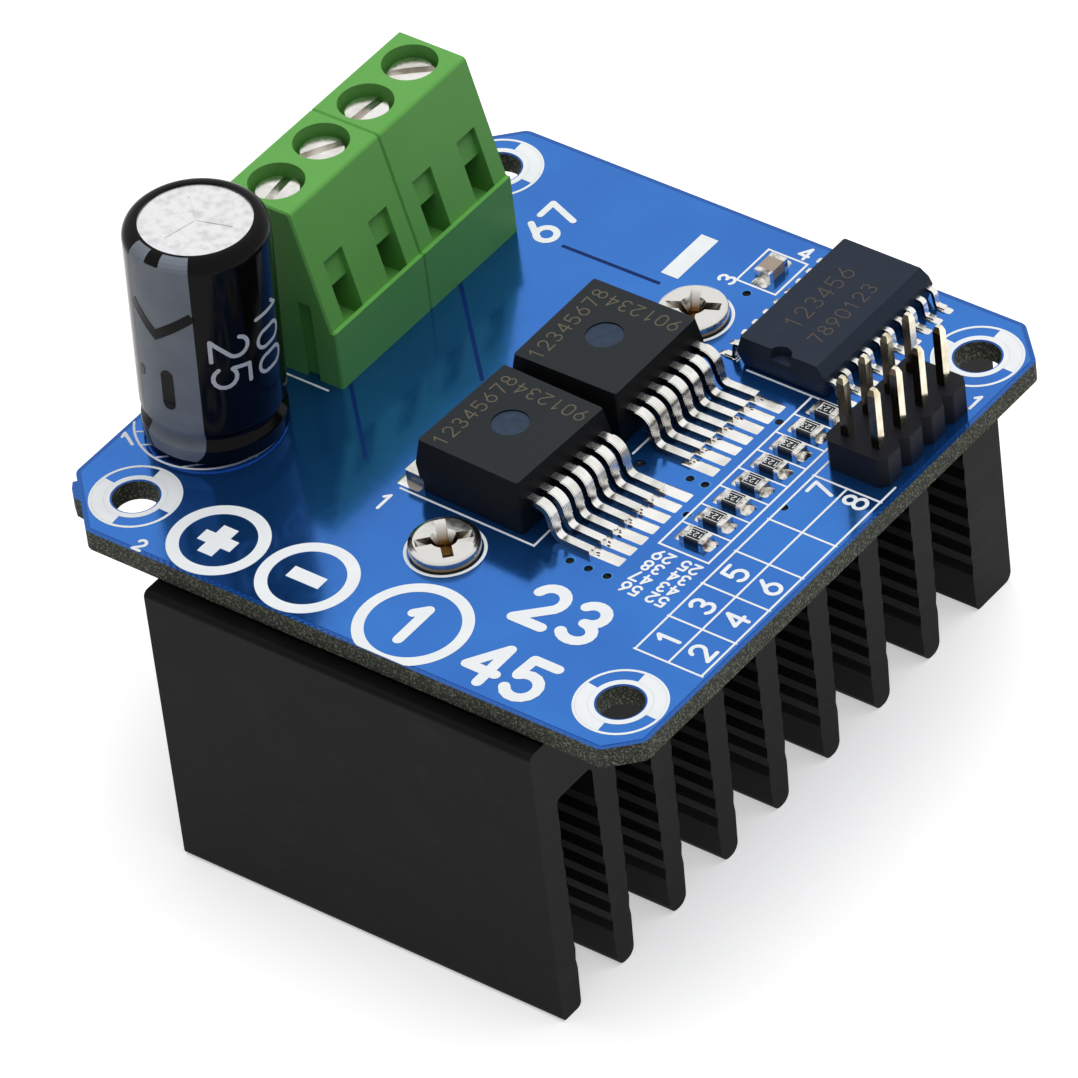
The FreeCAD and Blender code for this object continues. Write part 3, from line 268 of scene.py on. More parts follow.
FINISH = {
    "laminate": solder_mask_over_laminate(),
    "copper": solder_mask_over_copper(),
    "heatsink": black_anodised_aluminium(),
    # matt grey, of which only the rim shows
    "pad": moulded("grey_silicone_thermal_pad", "8E9190", "A3A6A4", (0.7, 0.85), 0.02),
    "bolt": plated_bolt(),
    "compound": chip_compound(),
    # satin epoxy from a smoother mould, painted a cool blue grey that stands in for its sheen
    "buffer": moulded("satin_epoxy_moulding_compound", "1C2430", "232C3A", (0.36, 0.46), 0.004, 0.12,
                      Specular_IOR_Level=0.14),
    # tin over copper: white where it mirrors the surroundings, with faint draw marks, and sides along Y painted
    # duller: partly sheared edge, partly painted shade
    "tin": metal("bright_tin_plated_copper", "F4F3F0", "D6D3CB", (0.18, 0.3), 0.003, cut="7C766E"),
    # satin black with the mould's fine grain
    "black_nylon": moulded("glass_filled_black_nylon", "14151A", "1D1E24", (0.4, 0.55), 0.01, 0.2,
                           Specular_IOR_Level=0.1),
    # warm and bright, drawn lengthwise, and dull brown on the sides along Y: partly where the strip was sheared,
    # partly painted shade
    "pin": metal("bright_plated_brass_pins", "EFE8D3", "D2C4A0", (0.12, 0.24), 0.003, 0.2, (1, 1, 12), "5F5443"),
    # glassy black with a soft highlight
    "resistor": moulded("black_glazed_resistor_glass", "0D0D0E", "191817", (0.2, 0.34), 0.003, 0.2,
                        Specular_IOR_Level=0.3),
    # dull tan, a little clouded
    "ceramic": moulded("fired_tan_capacitor_ceramic", "8F8172", "A4978A", (0.4, 0.55), 0.006, 0.15),
    # nearly white, brushed one way so that what it mirrors blurs
    "can": metal("brushed_bare_aluminium_can", "EEEEEF", "D2D2D4", (0.26, 0.4), 0.006, 0.12, (14, 1, 1)),
    # shrunk sleeve, glossy with very slight ripples
    "sleeve": moulded("shrunk_black_film_sleeve", "050506", "0B0B0C", (0.1, 0.16), 0.003, 0.9,
                      Specular_IOR_Level=0.09),
    # dull soft black
    "rubber": moulded("black_bung_rubber", "141414", "1E1E1E", (0.7, 0.85), 0.01),
    # satin mid green that lets a little light into its thin walls
    "green": moulded("green_moulded_nylon", "5C9F4A", "66A752", (0.36, 0.48), 0.008, 0.35,
                     Specular_IOR_Level=0.22, Subsurface_Weight=0.05, Subsurface_Scale=0.001),
    # smooth and bright, with a faint warm tarnish
    "nickel": metal("nickel_plated_brass_clamp", "F0EEEA", "C9C5BC", (0.12, 0.24), 0.006),
    # levelled tin on bare pads, flat and white; solder under small parts, mottled dark brown: partly flux stain,
    # partly painted reflection of dark surroundings
    "pad_tin": metal("hot_air_levelled_pad_tin", "F8F7F4", "E2DFD8", (0.16, 0.28), 0.004, 0.4),
    "solder": metal("reflowed_tin_solder", "E8E5DF", "4C3F32", (0.1, 0.26), 0.012, 0.09),
    # opaque white, laid on a little unevenly
    "ink": moulded("white_screen_print_ink", "F2F4F5", "E2E7EC", (0.45, 0.6), 0.004, 0.12),
    # matt grey ink, slightly grainy where the film was printed before it shrank
    "sleeve_ink": moulded("grey_ink_on_shrunk_film", "666C76", "7E858F", (0.42, 0.56), 0.012, 0.14,
                          Specular_IOR_Level=0.22),
    # even pale grey
    "sleeve_white": moulded("pale_grey_sleeve_lettering", "C9CCD0", "B7BBC0", (0.4, 0.5), 0.002, 0.2),
    # warm grey where the laser roughened the compound, fainter and browner on the satin chip
    "laser_mark": moulded("laser_marked_compound", "575243", "635D4B", (0.6, 0.75), 0.003, 0.15),
    "brown_mark": moulded("faint_brown_laser_mark", "48403A", "51463C", (0.5, 0.6), 0.002, 0.15,
                          Specular_IOR_Level=0.3),
    # mask straight on the laminate between two copper areas, nearly black blue
    "gap": moulded("solder_mask_in_copper_gap", "0A2152", "0E2A63", (0.3, 0.45), 0.002, Specular_IOR_Level=0.1),
    # drops of burnt flux, glassy and dark amber
    "flux": moulded("burnt_rosin_flux", "2A150A", "4A2A12", (0.12, 0.25), 0.01, 0.2),
    # mask that has pulled thin over a rim of copper
    "rim": metal("thin_solder_mask_on_via_rim", "3F86CF", "5A97D6", (0.16, 0.26), 0.004),
}

NODE_FINISH = {
    "circuit_board": "laminate", "heatsink": "heatsink", "thermal_pad": "pad", "heatsink_screws": "bolt",
    "power_chip_front_body": "compound", "power_chip_back_body": "compound",
    "power_chip_front_heat_tab": "tin", "power_chip_back_heat_tab": "tin",
    "power_chip_front_leads": "tin", "power_chip_back_leads": "tin",
    "buffer_chip_body": "buffer", "buffer_chip_leads": "tin", "header_base": "black_nylon",
    "header_pins": "pin", "resistor_bodies": "resistor", "resistor_end_caps": "solder",
    "chip_capacitor_body": "ceramic", "chip_capacitor_end_caps": "solder", "capacitor_can": "can",
    "capacitor_sleeve": "sleeve", "capacitor_bung": "rubber", "capacitor_leads": "tin",
    "terminal_block_front": "green", "terminal_block_back": "green", "terminal_contacts": "nickel",
}
for pole in range(1, len(POLES) + 1):
    NODE_FINISH[f"clamp_screw_{pole}"] = "nickel"
    NODE_FINISH[f"clamp_cage_{pole}"] = "nickel"
for node_name, finish in NODE_FINISH.items():
    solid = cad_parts[node_name]
    for held in solid.material_slots:
        held.material = FINISH[finish]


def new_object(name, data):
    """Object at the origin, in the scene's own collection."""
    made = bpy.data.objects.new(name, data)
    bpy.context.scene.collection.objects.link(made)
    return made


def thin_piece(name, mesh, finish):
    """Gives a mesh its finish and lets it ride on the module as a piece of its own."""
    mesh.materials.append(FINISH[finish])
    made = new_object(name, mesh)
    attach(made, "module")


def mesh_piece(name, parts, finish):
    """One thin piece from (points in mm, faces) parts."""
    points, faces, start = [], [], 0
    for part_points, part_faces in parts:
        points.append(part_points)
        faces += [[start + i for i in face] for face in part_faces]
        start += len(part_points)
    mesh = bpy.data.meshes.new(name)
    mesh.from_pydata((np.concatenate(points) * MM).tolist(), [], faces)
    thin_piece(name, mesh, finish)


def unit(vectors):
    """The same rows of numbers, each of length 1."""
    return vectors / np.linalg.norm(vectors, axis=1, keepdims=True)


def bar(path, width, low, high, closed=False):
    """Rectangular section carried along a flat path: at each point the section's four corners lie half a
    width to both sides along the mitre of the two runs that meet there, at the low and the high level.
    The width is one number, or one for each point."""
    p = np.asarray(path, float)
    ahead, behind = np.roll(p, -1, 0) - p, p - np.roll(p, 1, 0)
    if not closed:
        ahead[-1], behind[0] = behind[-1], ahead[0]
    ahead, behind = unit(ahead), unit(behind)
    mitre = unit(ahead + behind)
    side = np.stack([-mitre[:, 1], mitre[:, 0]], 1)
    reach = 0.5 * np.asarray(width) / np.maximum((mitre * ahead).sum(1), 0.45)
    left, right = p + side * reach[:, None], p - side * reach[:, None]
    n = len(p)
    rings = np.zeros((n, 4, 3))
    for corner, (edge, level) in enumerate(((left, low), (right, low), (right, high), (left, high))):
        rings[:, corner, :2] = edge
        rings[:, corner, 2] = level
    here = np.arange(n if closed else n - 1)
    after = (here + 1) % n
    faces = [face for k in range(4) for face in
             np.stack([here * 4 + k, after * 4 + k, after * 4 + (k + 1) % 4, here * 4 + (k + 1) % 4], 1).tolist()]
    if not closed:
        faces += [[0, 1, 2, 3], [4 * n - 1, 4 * n - 2, 4 * n - 3, 4 * n - 4]]
    return rings.reshape(-1, 3), faces


def pen_stroke(path, width, low, high):
    """A pen's line with round ends: past each end the path goes on by half a width times the sine of an
    angle up to a right angle, while the width shrinks as that angle's cosine."""
    p = np.asarray(path, float)
    turn = np.radians([30.0, 55.0, 75.0, 88.0])
    ends = unit(np.stack([p[0] - p[1], p[-1] - p[-2]]))
    reach = 0.5 * width * np.sin(turn)[:, None]
    before, after = p[0] + reach[::-1] * ends[0], p[-1] + reach * ends[1]
    narrow = width * np.cos(turn)
    return bar(np.concatenate([before, p, after]),
               np.concatenate([narrow[::-1], np.full(len(p), width), narrow]), low, high)


def divided(path, step):
    """The same path with its straight runs cut into steps no longer than the given one."""
    p = np.asarray(path, float)
    runs = np.linalg.norm(np.diff(p, axis=0), axis=1)
    counts = np.maximum(np.ceil(runs / step).astype(int), 1)
    pieces = [p[i] + np.linspace(0, 1, counts[i], endpoint=False)[:, None] * (p[i + 1] - p[i])
              for i in range(len(runs))]
    return np.concatenate(pieces + [p[-1:]])


def arc(x, y, rx, ry, start, end, count=13):
    """Points of an ellipse's arc from one angle in degrees to another."""
    angle = np.radians(np.linspace(start, end, count))
    return np.stack([x + rx * np.cos(angle), y + ry * np.sin(angle)], 1)


def circle(x, y, r, count=48):
    """Points of a whole circle, the first not repeated at the end."""
    return arc(x, y, r, r, 0, 360 * (1 - 1 / count), count)


def ring(x, y, inner, outer, low, high, count=64):
    """Flat ring: the bar's section carried round a circle midway between both radii."""
    return bar(circle(x, y, 0.5 * (inner + outer), count), outer - inner, low, high, closed=True)


def skin(rings):
    """Closed skin over a stack of rings, n rings of m points that run anticlockwise seen from above, the
    lowest first; the first and the last close with a fan to their middle."""
    rings = np.asarray(rings, float)
    n, m = rings.shape[:2]
    here = np.arange(m)
    after = (here + 1) % m
    faces = []
    for i in range(n - 1):
        faces += np.stack([i * m + here, i * m + after, (i + 1) * m + after, (i + 1) * m + here], 1).tolist()
    bottom, top = n * m, n * m + 1
    faces += [[bottom, b, a] for a, b in zip(here.tolist(), after.tolist())]
    faces += [[top, (n - 1) * m + a, (n - 1) * m + b] for a, b in zip(here.tolist(), after.tolist())]
    points = np.concatenate([rings.reshape(-1, 3), rings[:1].mean(1), rings[-1:].mean(1)])
    return points, faces


def mound(x, y, half_x, half_y, low, height, square=4.0, fall=2.5, count=28, down=False):
    """Solder that has run out and set: a footprint between an ellipse and a rectangle, the squarer the higher
    the power square, whose height falls from the middle to the rim as one minus the share of the way out to
    the power fall. Down hangs it under its level."""
    angle = np.linspace(0, 2 * np.pi, count, endpoint=False)
    c, s = np.cos(angle), np.sin(angle)
    outline = np.stack([half_x * np.sign(c) * np.abs(c) ** (2 / square),
                        half_y * np.sign(s) * np.abs(s) ** (2 / square)], 1)
    shares = np.array([1.0, 1.0, 0.9, 0.75, 0.55, 0.3, 0.08])
    heights = np.concatenate([[0.0], 0.012 + height * (1 - shares[1:] ** fall)])
    rings = np.zeros((len(shares), count, 3))
    rings[:, :, :2] = [x, y] + shares[:, None, None] * outline
    rings[:, :, 2] = low + heights[:, None]
    if down:
        rings[:, :, 2] = low - heights[:, None]
        rings = rings[::-1]
    return skin(rings)


# Pen strokes of the numbers in a cell 1 wide and 1.6 high. A new stroke starts at each sharp corner, and a
# stroke that ends where it starts is a closed loop.
STROKES = {
    "0": [np.concatenate([arc(0.5, 1.1, 0.48, 0.5, 0, 180), arc(0.5, 0.5, 0.48, 0.5, 180, 360), [(0.98, 1.1)]])],
    "1": [[(0.2, 1.25), (0.55, 1.6)], [(0.55, 1.6), (0.55, 0.0)]],
    "2": [np.concatenate([arc(0.5, 1.12, 0.47, 0.48, 165, -38), [(0.0, 0.0)]]), [(0.0, 0.0), (1.0, 0.0)]],
    "3": [arc(0.48, 1.2, 0.42, 0.4, 150, -90), arc(0.48, 0.4, 0.48, 0.4, 90, -150)],
    "4": [[(0.75, 0.0), (0.75, 1.6)], [(0.75, 1.6), (0.0, 0.5)], [(0.0, 0.5), (1.0, 0.5)]],
    "5": [[(0.95, 1.6), (0.12, 1.6)], [(0.12, 1.6), (0.06, 0.88)], arc(0.46, 0.5, 0.5, 0.5, 138, -150)],
    "6": [[(0.78, 1.6), (0.08, 0.7)], arc(0.5, 0.5, 0.48, 0.5, 0, 360, 25)],
    "7": [[(0.0, 1.6), (1.0, 1.6)], [(1.0, 1.6), (0.4, 0.0)]],
    "8": [arc(0.5, 1.22, 0.38, 0.38, 0, 360, 25), arc(0.5, 0.42, 0.48, 0.42, 0, 360, 25)],
    "9": [[(0.22, 0.0), (0.92, 0.9)], arc(0.5, 1.1, 0.48, 0.5, 0, 360, 25)],
}


def number(text, x, y, size, turn, weight, low, high, pitch=1.5, step=None):
    """Strokes of a row of numbers whose middle is at x and y; size is the height, turn the reading direction
    and pitch the way from one to the next in cells. Strokes that cross lie 0.002 mm above one another, so
    that each has its own top. With a step they are cut into short runs, which can be bent later."""
    scale = size / 1.6
    c, s = math.cos(math.radians(turn)), math.sin(math.radians(turn))
    width = (len(text) - 1) * pitch + 1.0
    parts = []
    for column, figure in enumerate(text):
        for layer, path in enumerate(STROKES[figure]):
            p = np.asarray(path, float) + [column * pitch - 0.5 * width, -0.8]
            p = scale * p @ np.array([[c, s], [-s, c]]) + [x, y]
            if step:
                p = divided(p, step)
            top = high + 0.002 * layer
            loop = np.allclose(p[0], p[-1])
            parts.append(bar(p[:-1], weight, low, top, True) if loop else pen_stroke(p, weight, low, top))
    return parts


def sheet_with_holes(name, outline, holes, low, high, finish):
    """Flat sheet from a closed outline and closed hole outlines, filled between its two levels."""
    curve = bpy.data.curves.new(name, "CURVE")
    curve.dimensions = "2D"
    curve.fill_mode = "BOTH"
    curve.extrude = 0.5 * (high - low) * MM
    for path in [outline] + holes:
        path = np.asarray(path, float)
        spline = curve.splines.new("POLY")
        spline.points.add(len(path) - 1)
        flat = np.zeros((len(path), 4))
        flat[:, :2] = path * MM
        flat[:, 3] = 1.0
        spline.points.foreach_set("co", flat.ravel())
        spline.use_cyclic_u = True
    drawn = bpy.data.objects.new(name + "_curve", curve)
    mesh = bpy.data.meshes.new_from_object(drawn)
    bpy.data.objects.remove(drawn)
    mesh.name = name
    mesh.transform(Matrix.Translation((0, 0, 0.5 * (low + high) * MM)))
    mesh.materials.clear()
    thin_piece(name, mesh, finish)


def board_outline(inset):
    """The board's outline, pulled in by so many millimetres; each cut corner takes off a leg of its own."""
    h = HALF_BOARD - inset
    cut = {key: size - inset * (2 - math.sqrt(2)) for key, size in
           {"left": 4.5, "front": 2.2, "back": 2.9}.items()}
    return [(-h + cut["left"], -h), (h - cut["front"], -h), (h, -h + cut["front"]), (h, h - cut["back"]),
            (h - cut["back"], h), (-h + cut["left"], h), (-h, h - cut["left"]), (-h, -h + cut["left"])]


# Copper sheet under the mask, pulled back from the edges and cleared round every hole.
clearings = [circle(x, y, MOUNT_HOLE_R + 0.1) for x, y in MOUNT_HOLES]
clearings += [circle(x, y, VIA_R + 0.02, 24) for x, y in VIAS + [FILLED_VIA]]
clearings += [circle(x, y, 2.0) for x, y in BOLTS]
# gaps between the copper areas show as thin dark lines
GAPS = [((-14.5, 9.1), (-6.63, 1.28)), ((-14.5, -3.4), (-8.6, -9.3)), ((-10.66, 15.81), (-2.25, 15.89))]
GAP_WIDTH = 0.3
for (x0, y0), (x1, y1) in GAPS:
    half = 0.5 * GAP_WIDTH / math.hypot(x1 - x0, y1 - y0)
    nx, ny = half * (y0 - y1), half * (x1 - x0)
    clearings.append([(x0 + nx, y0 + ny), (x1 + nx, y1 + ny), (x1 - nx, y1 - ny), (x0 - nx, y0 - ny)])
sheet_with_holes("copper_pour_under_mask", board_outline(0.35), clearings, BOARD_TOP, COPPER_TOP, "copper")
strips = [bar(ends, GAP_WIDTH - 0.01, BOARD_TOP - 0.01, BOARD_TOP + 0.015) for ends in GAPS]
mesh_piece("mask_in_copper_gaps", strips, "gap")

# White print
ink = []


def ink_level():
    """Each print has its own level among its neighbours, so that crossing lines never share a face."""
    return INK_TOP + 0.0005 * (len(ink) % 16)


def line(points, width=0.16, closed=False):
    """Printed line with round ends, or a closed one."""
    ink.append(bar(points, width, BOARD_TOP, ink_level(), True) if closed
               else pen_stroke(points, width, BOARD_TOP, ink_level()))


def block(x0, y0, x1, y1, width):
    """Printed block with square ends."""
    ink.append(bar([(x0, y0), (x1, y1)], width, BOARD_TOP, ink_level()))


def board_number(text, x, y, size, turn, weight):
    """Printed row of numbers on the board."""
    ink.extend(number(text, x, y, size, turn, weight, BOARD_TOP, INK_TOP))


def printed_ring(x, y, inner, outer):
    """Printed ring, cut off where it would run over the board's front edge."""
    points, faces = ring(x, y, inner, outer, BOARD_TOP, INK_TOP)
    points[:, 1] = np.maximum(points[:, 1], 0.06 - HALF_BOARD)
    ink.append((points, faces))


for x, y in MOUNT_HOLES:
    printed_ring(x, y, 1.78, 2.2)
    printed_ring(x, y, 3.05, 3.25)
    # two broad arcs between both rings
    for start, end in ((-4, 95), (171, 277)):
        ink.append(bar(arc(x, y, 2.625, 2.625, start, end, 20), 0.87, BOARD_TOP, INK_TOP))
for x, y in BOLTS:
    printed_ring(x, y, 2.62, 2.85)
# supply polarity marks in their rings
printed_ring(-12.0, -21.2, 2.7, 3.6)
block(-12.0, -22.77, -12.0, -19.77, 1.25)
block(-13.4, -21.25, -10.6, -21.25, 1.1)
printed_ring(-4.4, -21.2, 2.7, 3.6)
block(-5.83, -21.2, -3.1, -21.2, 1.15)
printed_ring(4.65, -21.35, 3.3, 4.15)
board_number("1", 4.6, -21.35, 3.4, 0, 0.8)
board_number("23", 12.8, -15.4, 3.7, 0, 0.85)
board_number("45", 13.0, -21.9, 3.7, 0, 0.82)
board_number("67", -12.8, 17.4, 2.4, 90, 0.5)
block(-2.2, 16.9, -2.2, 21.7, 1.45)
# small placing numbers
for text, x, y, size, turn in (("1", -4.75, -12.3, 1.5, 0), ("1", -24.0, -16.0, 1.4, 60), ("2", -16.3, -24.3, 1.0, 0),
                               ("3", 1.5, 18.6, 1.2, 90), ("4", 4.6, 23.6, 1.2, 0), ("1", 23.9, 16.4, 1.4, 0)):
    board_number(text, x, y, size, turn, 0.24)
# two columns of small numbers in front of the resistors
for row in range(4):
    for column, x in enumerate((15.05, 17.25)):
        pair = str(2 + row) + str(9 - 4 * column - row)
        board_number(pair, x, -7.3 - row * 1.24, 0.92, 180, 0.19)
# box round the resistors with a line between each pair
line([(13.95, -6.3), (18.05, -6.3), (18.05, 11.35), (13.95, 11.35)], closed=True)
for x, y in RESISTORS[1:]:
    line([(13.95, y - 1.075), (18.05, y - 1.075)], 0.14)
# table beside the header
for y in (-15.73, -11.92, -8.12, -4.33, -0.55, 4.66):
    line([(18.82, y), (24.43, y)])
for x, end in ((18.9, 6.4), (21.63, 4.66), (24.35, 6.4)):
    line([(x, -15.73), (x, end)])
for cell, (x, y) in enumerate(((20.25, -13.8), (23.0, -13.8), (20.25, -10.0), (23.0, -10.0), (20.25, -6.2),
                               (23.0, -6.2))):
    board_number(str(cell + 1), x, y, 1.7, 90, 0.3)
board_number("7", 20.25, 3.65, 1.7, 90, 0.28)
board_number("8", 22.89, 3.82, 1.7, 90, 0.28)
# outlines of the parts
line([(-4.6, -10.62), (6.84, -10.8), (6.8, -8.57)])
line([(6.92, 0.3), (6.92, 2.7)])
line([(8.45, 11.35), (14.4, 11.35)])
line([(8.2, 24.3), (7.3, 24.3), (7.3, 11.8)], 0.14)
line([(2.1, 22.7), (2.1, 18.9), (5.4, 18.9), (5.4, 22.7)], closed=True)
line([(-19.08, -4.95), (-15.2, -4.95)])
# outline of the can with its two cut-off lines; on the far side it runs off the board
ink.append(bar(arc(-20.36, -11.44, 5.28, 5.28, -147, 147, 64), 0.17, BOARD_TOP, INK_TOP))
line([(-18.92, -16.45), (-15.2, -12.9)], 0.15)
line([(-21.14, -16.6), (-20.12, -15.75)], 0.14)
for x0, y0, x1, y1 in ((-22.77, -16.01, -22.15, -15.6), (-23.95, -15.1, -23.4, -14.75),
                       (-15.62, -11.36, -15.15, -11.35)):
    line([(x0, y0), (x1, y1)], 0.14)
mesh_piece("white_screen_print", ink, "ink")

# Tinned pads and solder
pads = []
for _, cy, _ in CHIPS:
    pads += [mound(CHIP_PAD_X, cy + (k - 3) * LEAD_PITCH, 1.4, 0.48, BOARD_TOP, 0.09, 14.0, 9.0) for k in range(7)]
    pads.append(mound(TAB_PAD_X, cy, 1.05, 5.15, BOARD_TOP, 0.09, 16.0, 9.0))
for side in (-1, 1):
    pads += [mound(BUFFER[0] + side * BUFFER_PAD_REACH, BUFFER[1] + (k - 4.5) * LEAD_PITCH, 0.75, 0.33, BOARD_TOP,
                   0.16, 5.0, 2.5) for k in range(10)]
mesh_piece("tinned_pads", pads, "pad_tin")
solder = [mound(x + side * RESISTOR_PAD_REACH, y, 0.5, 0.62, BOARD_TOP, 0.34, 4.0, 1.6)
          for x, y in RESISTORS for side in (-1, 1)]
solder += [mound(CHIP_CAP[0], CHIP_CAP[1] + side * CHIP_CAP_PAD_REACH, 0.68, 0.55, BOARD_TOP, 0.5, 4.0, 1.5)
           for side in (-1, 1)]
mesh_piece("board_top_solder", solder, "solder")
# specks of flux where the lead toes end on their pads, and beside the resistors
specks = []
for _, cy, skew in CHIPS:
    for k in range(7):
        toe_y = cy + (k - 3) * LEAD_PITCH + LEAD_ENDS * math.sin(math.radians(skew))
        for n in range(3):
            wave = math.sin(12.9 * k + 7.3 * n + cy)
            specks.append(mound(FLUX_X + 0.12 * n, toe_y + 0.3 * wave, 0.1 + 0.04 * n, 0.07 + 0.03 * abs(wave),
                                BOARD_TOP + 0.06, 0.09, 2.0, 2.0, 10))
for x, y in RESISTORS:
    for n in range(2):
        wave = math.sin(5.1 * y + 9.7 * n)
        specks.append(mound(x + 1.45 + 0.08 * wave, y + 0.35 * wave, 0.12, 0.08, BOARD_TOP + 0.03, 0.07, 2.0, 2.0, 10))
mesh_piece("flux_specks", specks, "flux")
# vias: a rim of copper under thin mask round each, and in each hole a black plug of painted shade, sunk below the top,
# and one flush in the filled via
mesh_piece("via_rims", [ring(x, y, VIA_R + 0.01, VIA_R + 0.12, BOARD_TOP, COPPER_TOP + 0.01, 24)
                        for x, y in VIAS + [FILLED_VIA]], "rim")
# painted shade: black plugs sunk in the via holes stand in for the dark inside them
hole_shade_plugs = [mound(x, y, VIA_R - 0.01, VIA_R - 0.01, BOARD_TOP - 0.3, 0.2, 2.0, 6.0, 20) for x, y in VIAS]
hole_shade_plugs.append(mound(*FILLED_VIA, VIA_R, VIA_R, BOARD_TOP - 0.01, 0.005, 2.0, 6.0, 20))
mesh_piece("via_plugs", hole_shade_plugs, "black_nylon")
below = [mound(x, y, 0.85, 0.85, BOARD_BOTTOM, 1.0, 2.0, 0.6, down=True) for x, y in HEADER_PINS]
below += [mound(TERMINAL_PIN_X, y, 1.2, 1.2, BOARD_BOTTOM, 1.1, 2.0, 0.6, down=True) for y in POLES]
mesh_piece("board_underside_solder", below, "solder")

# Resistor codes in their printed frames
codes = []
for x, y in RESISTORS:
    codes += number("123", x, y, 0.42, 180, 0.055, RESISTOR_TOP - 0.01, RESISTOR_TOP + 0.012, 1.45)
    corners = [(x - 0.55, y - 0.44), (x + 0.55, y - 0.44), (x + 0.55, y + 0.44), (x - 0.55, y + 0.44)]
    codes.append(bar(corners, 0.05, RESISTOR_TOP - 0.01, RESISTOR_TOP + 0.01, True))
mesh_piece("resistor_value_print", codes, "ink")

# Numbers on the chips
marks = []
for cx, cy, skew in CHIPS:
    c, s = math.cos(math.radians(skew)), math.sin(math.radians(skew))
    for text, lx, ly, size, turn in (("12345678", -2.95, -0.2, 1.12, 90), ("901234", 0.9, 3.25, 1.1, 180)):
        marks += number(text, cx + lx * c - ly * s, cy + lx * s + ly * c, size, turn + skew, 0.1, CHIP_TOP - 0.01,
                        CHIP_TOP + 0.012)
mesh_piece("power_chip_laser_numbers", marks, "laser_mark")
faint = []
for text, x, y, size in (("123456", -1.2, 0, 1.3), ("7890123", 1.2, -0.6, 1.1)):
    faint += number(text, BUFFER[0] + x, BUFFER[1] + y, size, 90, 0.1, BUFFER_TOP - 0.01, BUFFER_TOP + 0.01)
mesh_piece("buffer_chip_laser_numbers", faint, "brown_mark")


# The can leans as a whole, so its print is worked out upright and then leaned.
LEAN, HEADING = (math.radians(v) for v in CAN_LEAN)
CAN_TILT = np.array(Matrix.Rotation(LEAN, 3, Vector((-math.sin(HEADING), math.cos(HEADING), 0))))


def leaned(upright):
    """Points of the upright can, tilted about its foot and moved to its place on the board."""
    return upright @ CAN_TILT.T + [CAN[0], CAN[1], BOARD_TOP]


def round_can(parts, middle):
    """Wraps flat parts round the leaning can: the way across, over the sleeve's radius, becomes the angle from
    the middle bearing, up stays up, and the level becomes the height off the sleeve."""
    wrapped = []
    for points, faces in parts:
        angle = math.radians(middle) + points[:, 0] / SLEEVE_R
        r = SLEEVE_R + points[:, 2]
        wrapped.append((leaned(np.stack([r * np.cos(angle), r * np.sin(angle), points[:, 1]], 1)), faces))
    return wrapped


def rounded_corners(corners, count=7):
    """Path through corners (a, b, r): each corner with a radius becomes the arc that touches both its runs."""
    points = []
    for i, (a, b, r) in enumerate(corners):
        here = np.array([a, b])
        if r == 0:
            points.append(here[None])
            continue
        u, v = (np.array(corners[j][:2]) - here for j in (i - 1, i + 1))
        u, v = u / np.linalg.norm(u), v / np.linalg.norm(v)
        half = 0.5 * math.acos(float(u @ v))
        centre = here + (u + v) / np.linalg.norm(u + v) * r / math.sin(half)
        start, end = here + u * r / math.tan(half) - centre, here + v * r / math.tan(half) - centre
        share = np.linspace(0, 1, count)[:, None]
        swing = math.pi - 2 * half
        points.append(centre + (np.sin((1 - share) * swing) * start + np.sin(share * swing) * end) / math.sin(swing))
    return np.concatenate(points)


# The sleeve's own outline as radius, height above the board and corner radius: foot, crimp, wall, shoulder.
SLEEVE_OUTLINE = [(SLEEVE_R, 0.5, 0), (SLEEVE_R, 1.55, 0.35), (4.58, 2.3, 0.3), (SLEEVE_R, 3.05, 0.35),
                  (SLEEVE_R, 17.73, 0.98), (3.97, 17.73, 0)]


def film_patch(first, last, low, high, middle, spread, off=0.02, across=22):
    """Patch of print that follows the sleeve: the part of its outline from the first to the last length along
    it, carried round the can from the low to the high angle beside the middle bearing, times the share that
    the spread gives on the way. It is a closed skin, its outer face off the film by a little and its inner
    face as far inside it."""
    path = divided(rounded_corners(SLEEVE_OUTLINE), 0.25)
    runs = np.concatenate([[0], np.cumsum(np.linalg.norm(np.diff(path, axis=0), axis=1))])
    at = np.linspace(first, last, 60)
    r, z = np.interp(at, runs, path[:, 0]), np.interp(at, runs, path[:, 1])
    dr, dz = np.gradient(r), np.gradient(z)
    size = np.hypot(dr, dz)
    out_r, out_z = dz / size, -dr / size
    reach = spread(np.linspace(0, 1, len(at)))
    angle = np.radians(middle + np.linspace(low, high, across)[None, :] * reach[:, None])
    grids = []
    for lift in (off, -off):
        rr, zz = (r + lift * out_r)[:, None], (z + lift * out_z)[:, None]
        grids.append(np.stack([rr * np.cos(angle), rr * np.sin(angle), zz + 0 * angle], 2))
    n, m = angle.shape
    points = np.concatenate([g.reshape(-1, 3) for g in grids])
    i, j = (v.ravel() for v in np.meshgrid(np.arange(n - 1), np.arange(m - 1), indexing="ij"))
    outer = np.stack([i * m + j, i * m + j + 1, (i + 1) * m + j + 1, (i + 1) * m + j], 1)
    inner = outer[:, ::-1] + n * m
    rim = np.concatenate([np.arange(m), np.arange(1, n) * m + m - 1, (n - 1) * m + np.arange(m - 2, -1, -1),
                          np.arange(n - 2, 0, -1) * m])
    rim_next = np.roll(rim, -1)
    walls = np.stack([rim, rim + n * m, rim_next + n * m, rim_next], 1)
    return leaned(points), outer.tolist() + inner.tolist() + walls.tolist()


def rounded_ends(share):
    """Share of the full width, drawn in at the first end as a rounded corner is."""
    return 1 - 0.28 * np.clip(1 - share / 0.07, 0, 1) ** 2


def full_width(share):
    """The full width all the way."""
    return np.ones_like(share)


STRIPE_MIDDLE = -86.5
mesh_piece("sleeve_stripe", [film_patch(0.15, 17.95, -28.3, 28.3, STRIPE_MIDDLE, rounded_ends)], "sleeve_ink")
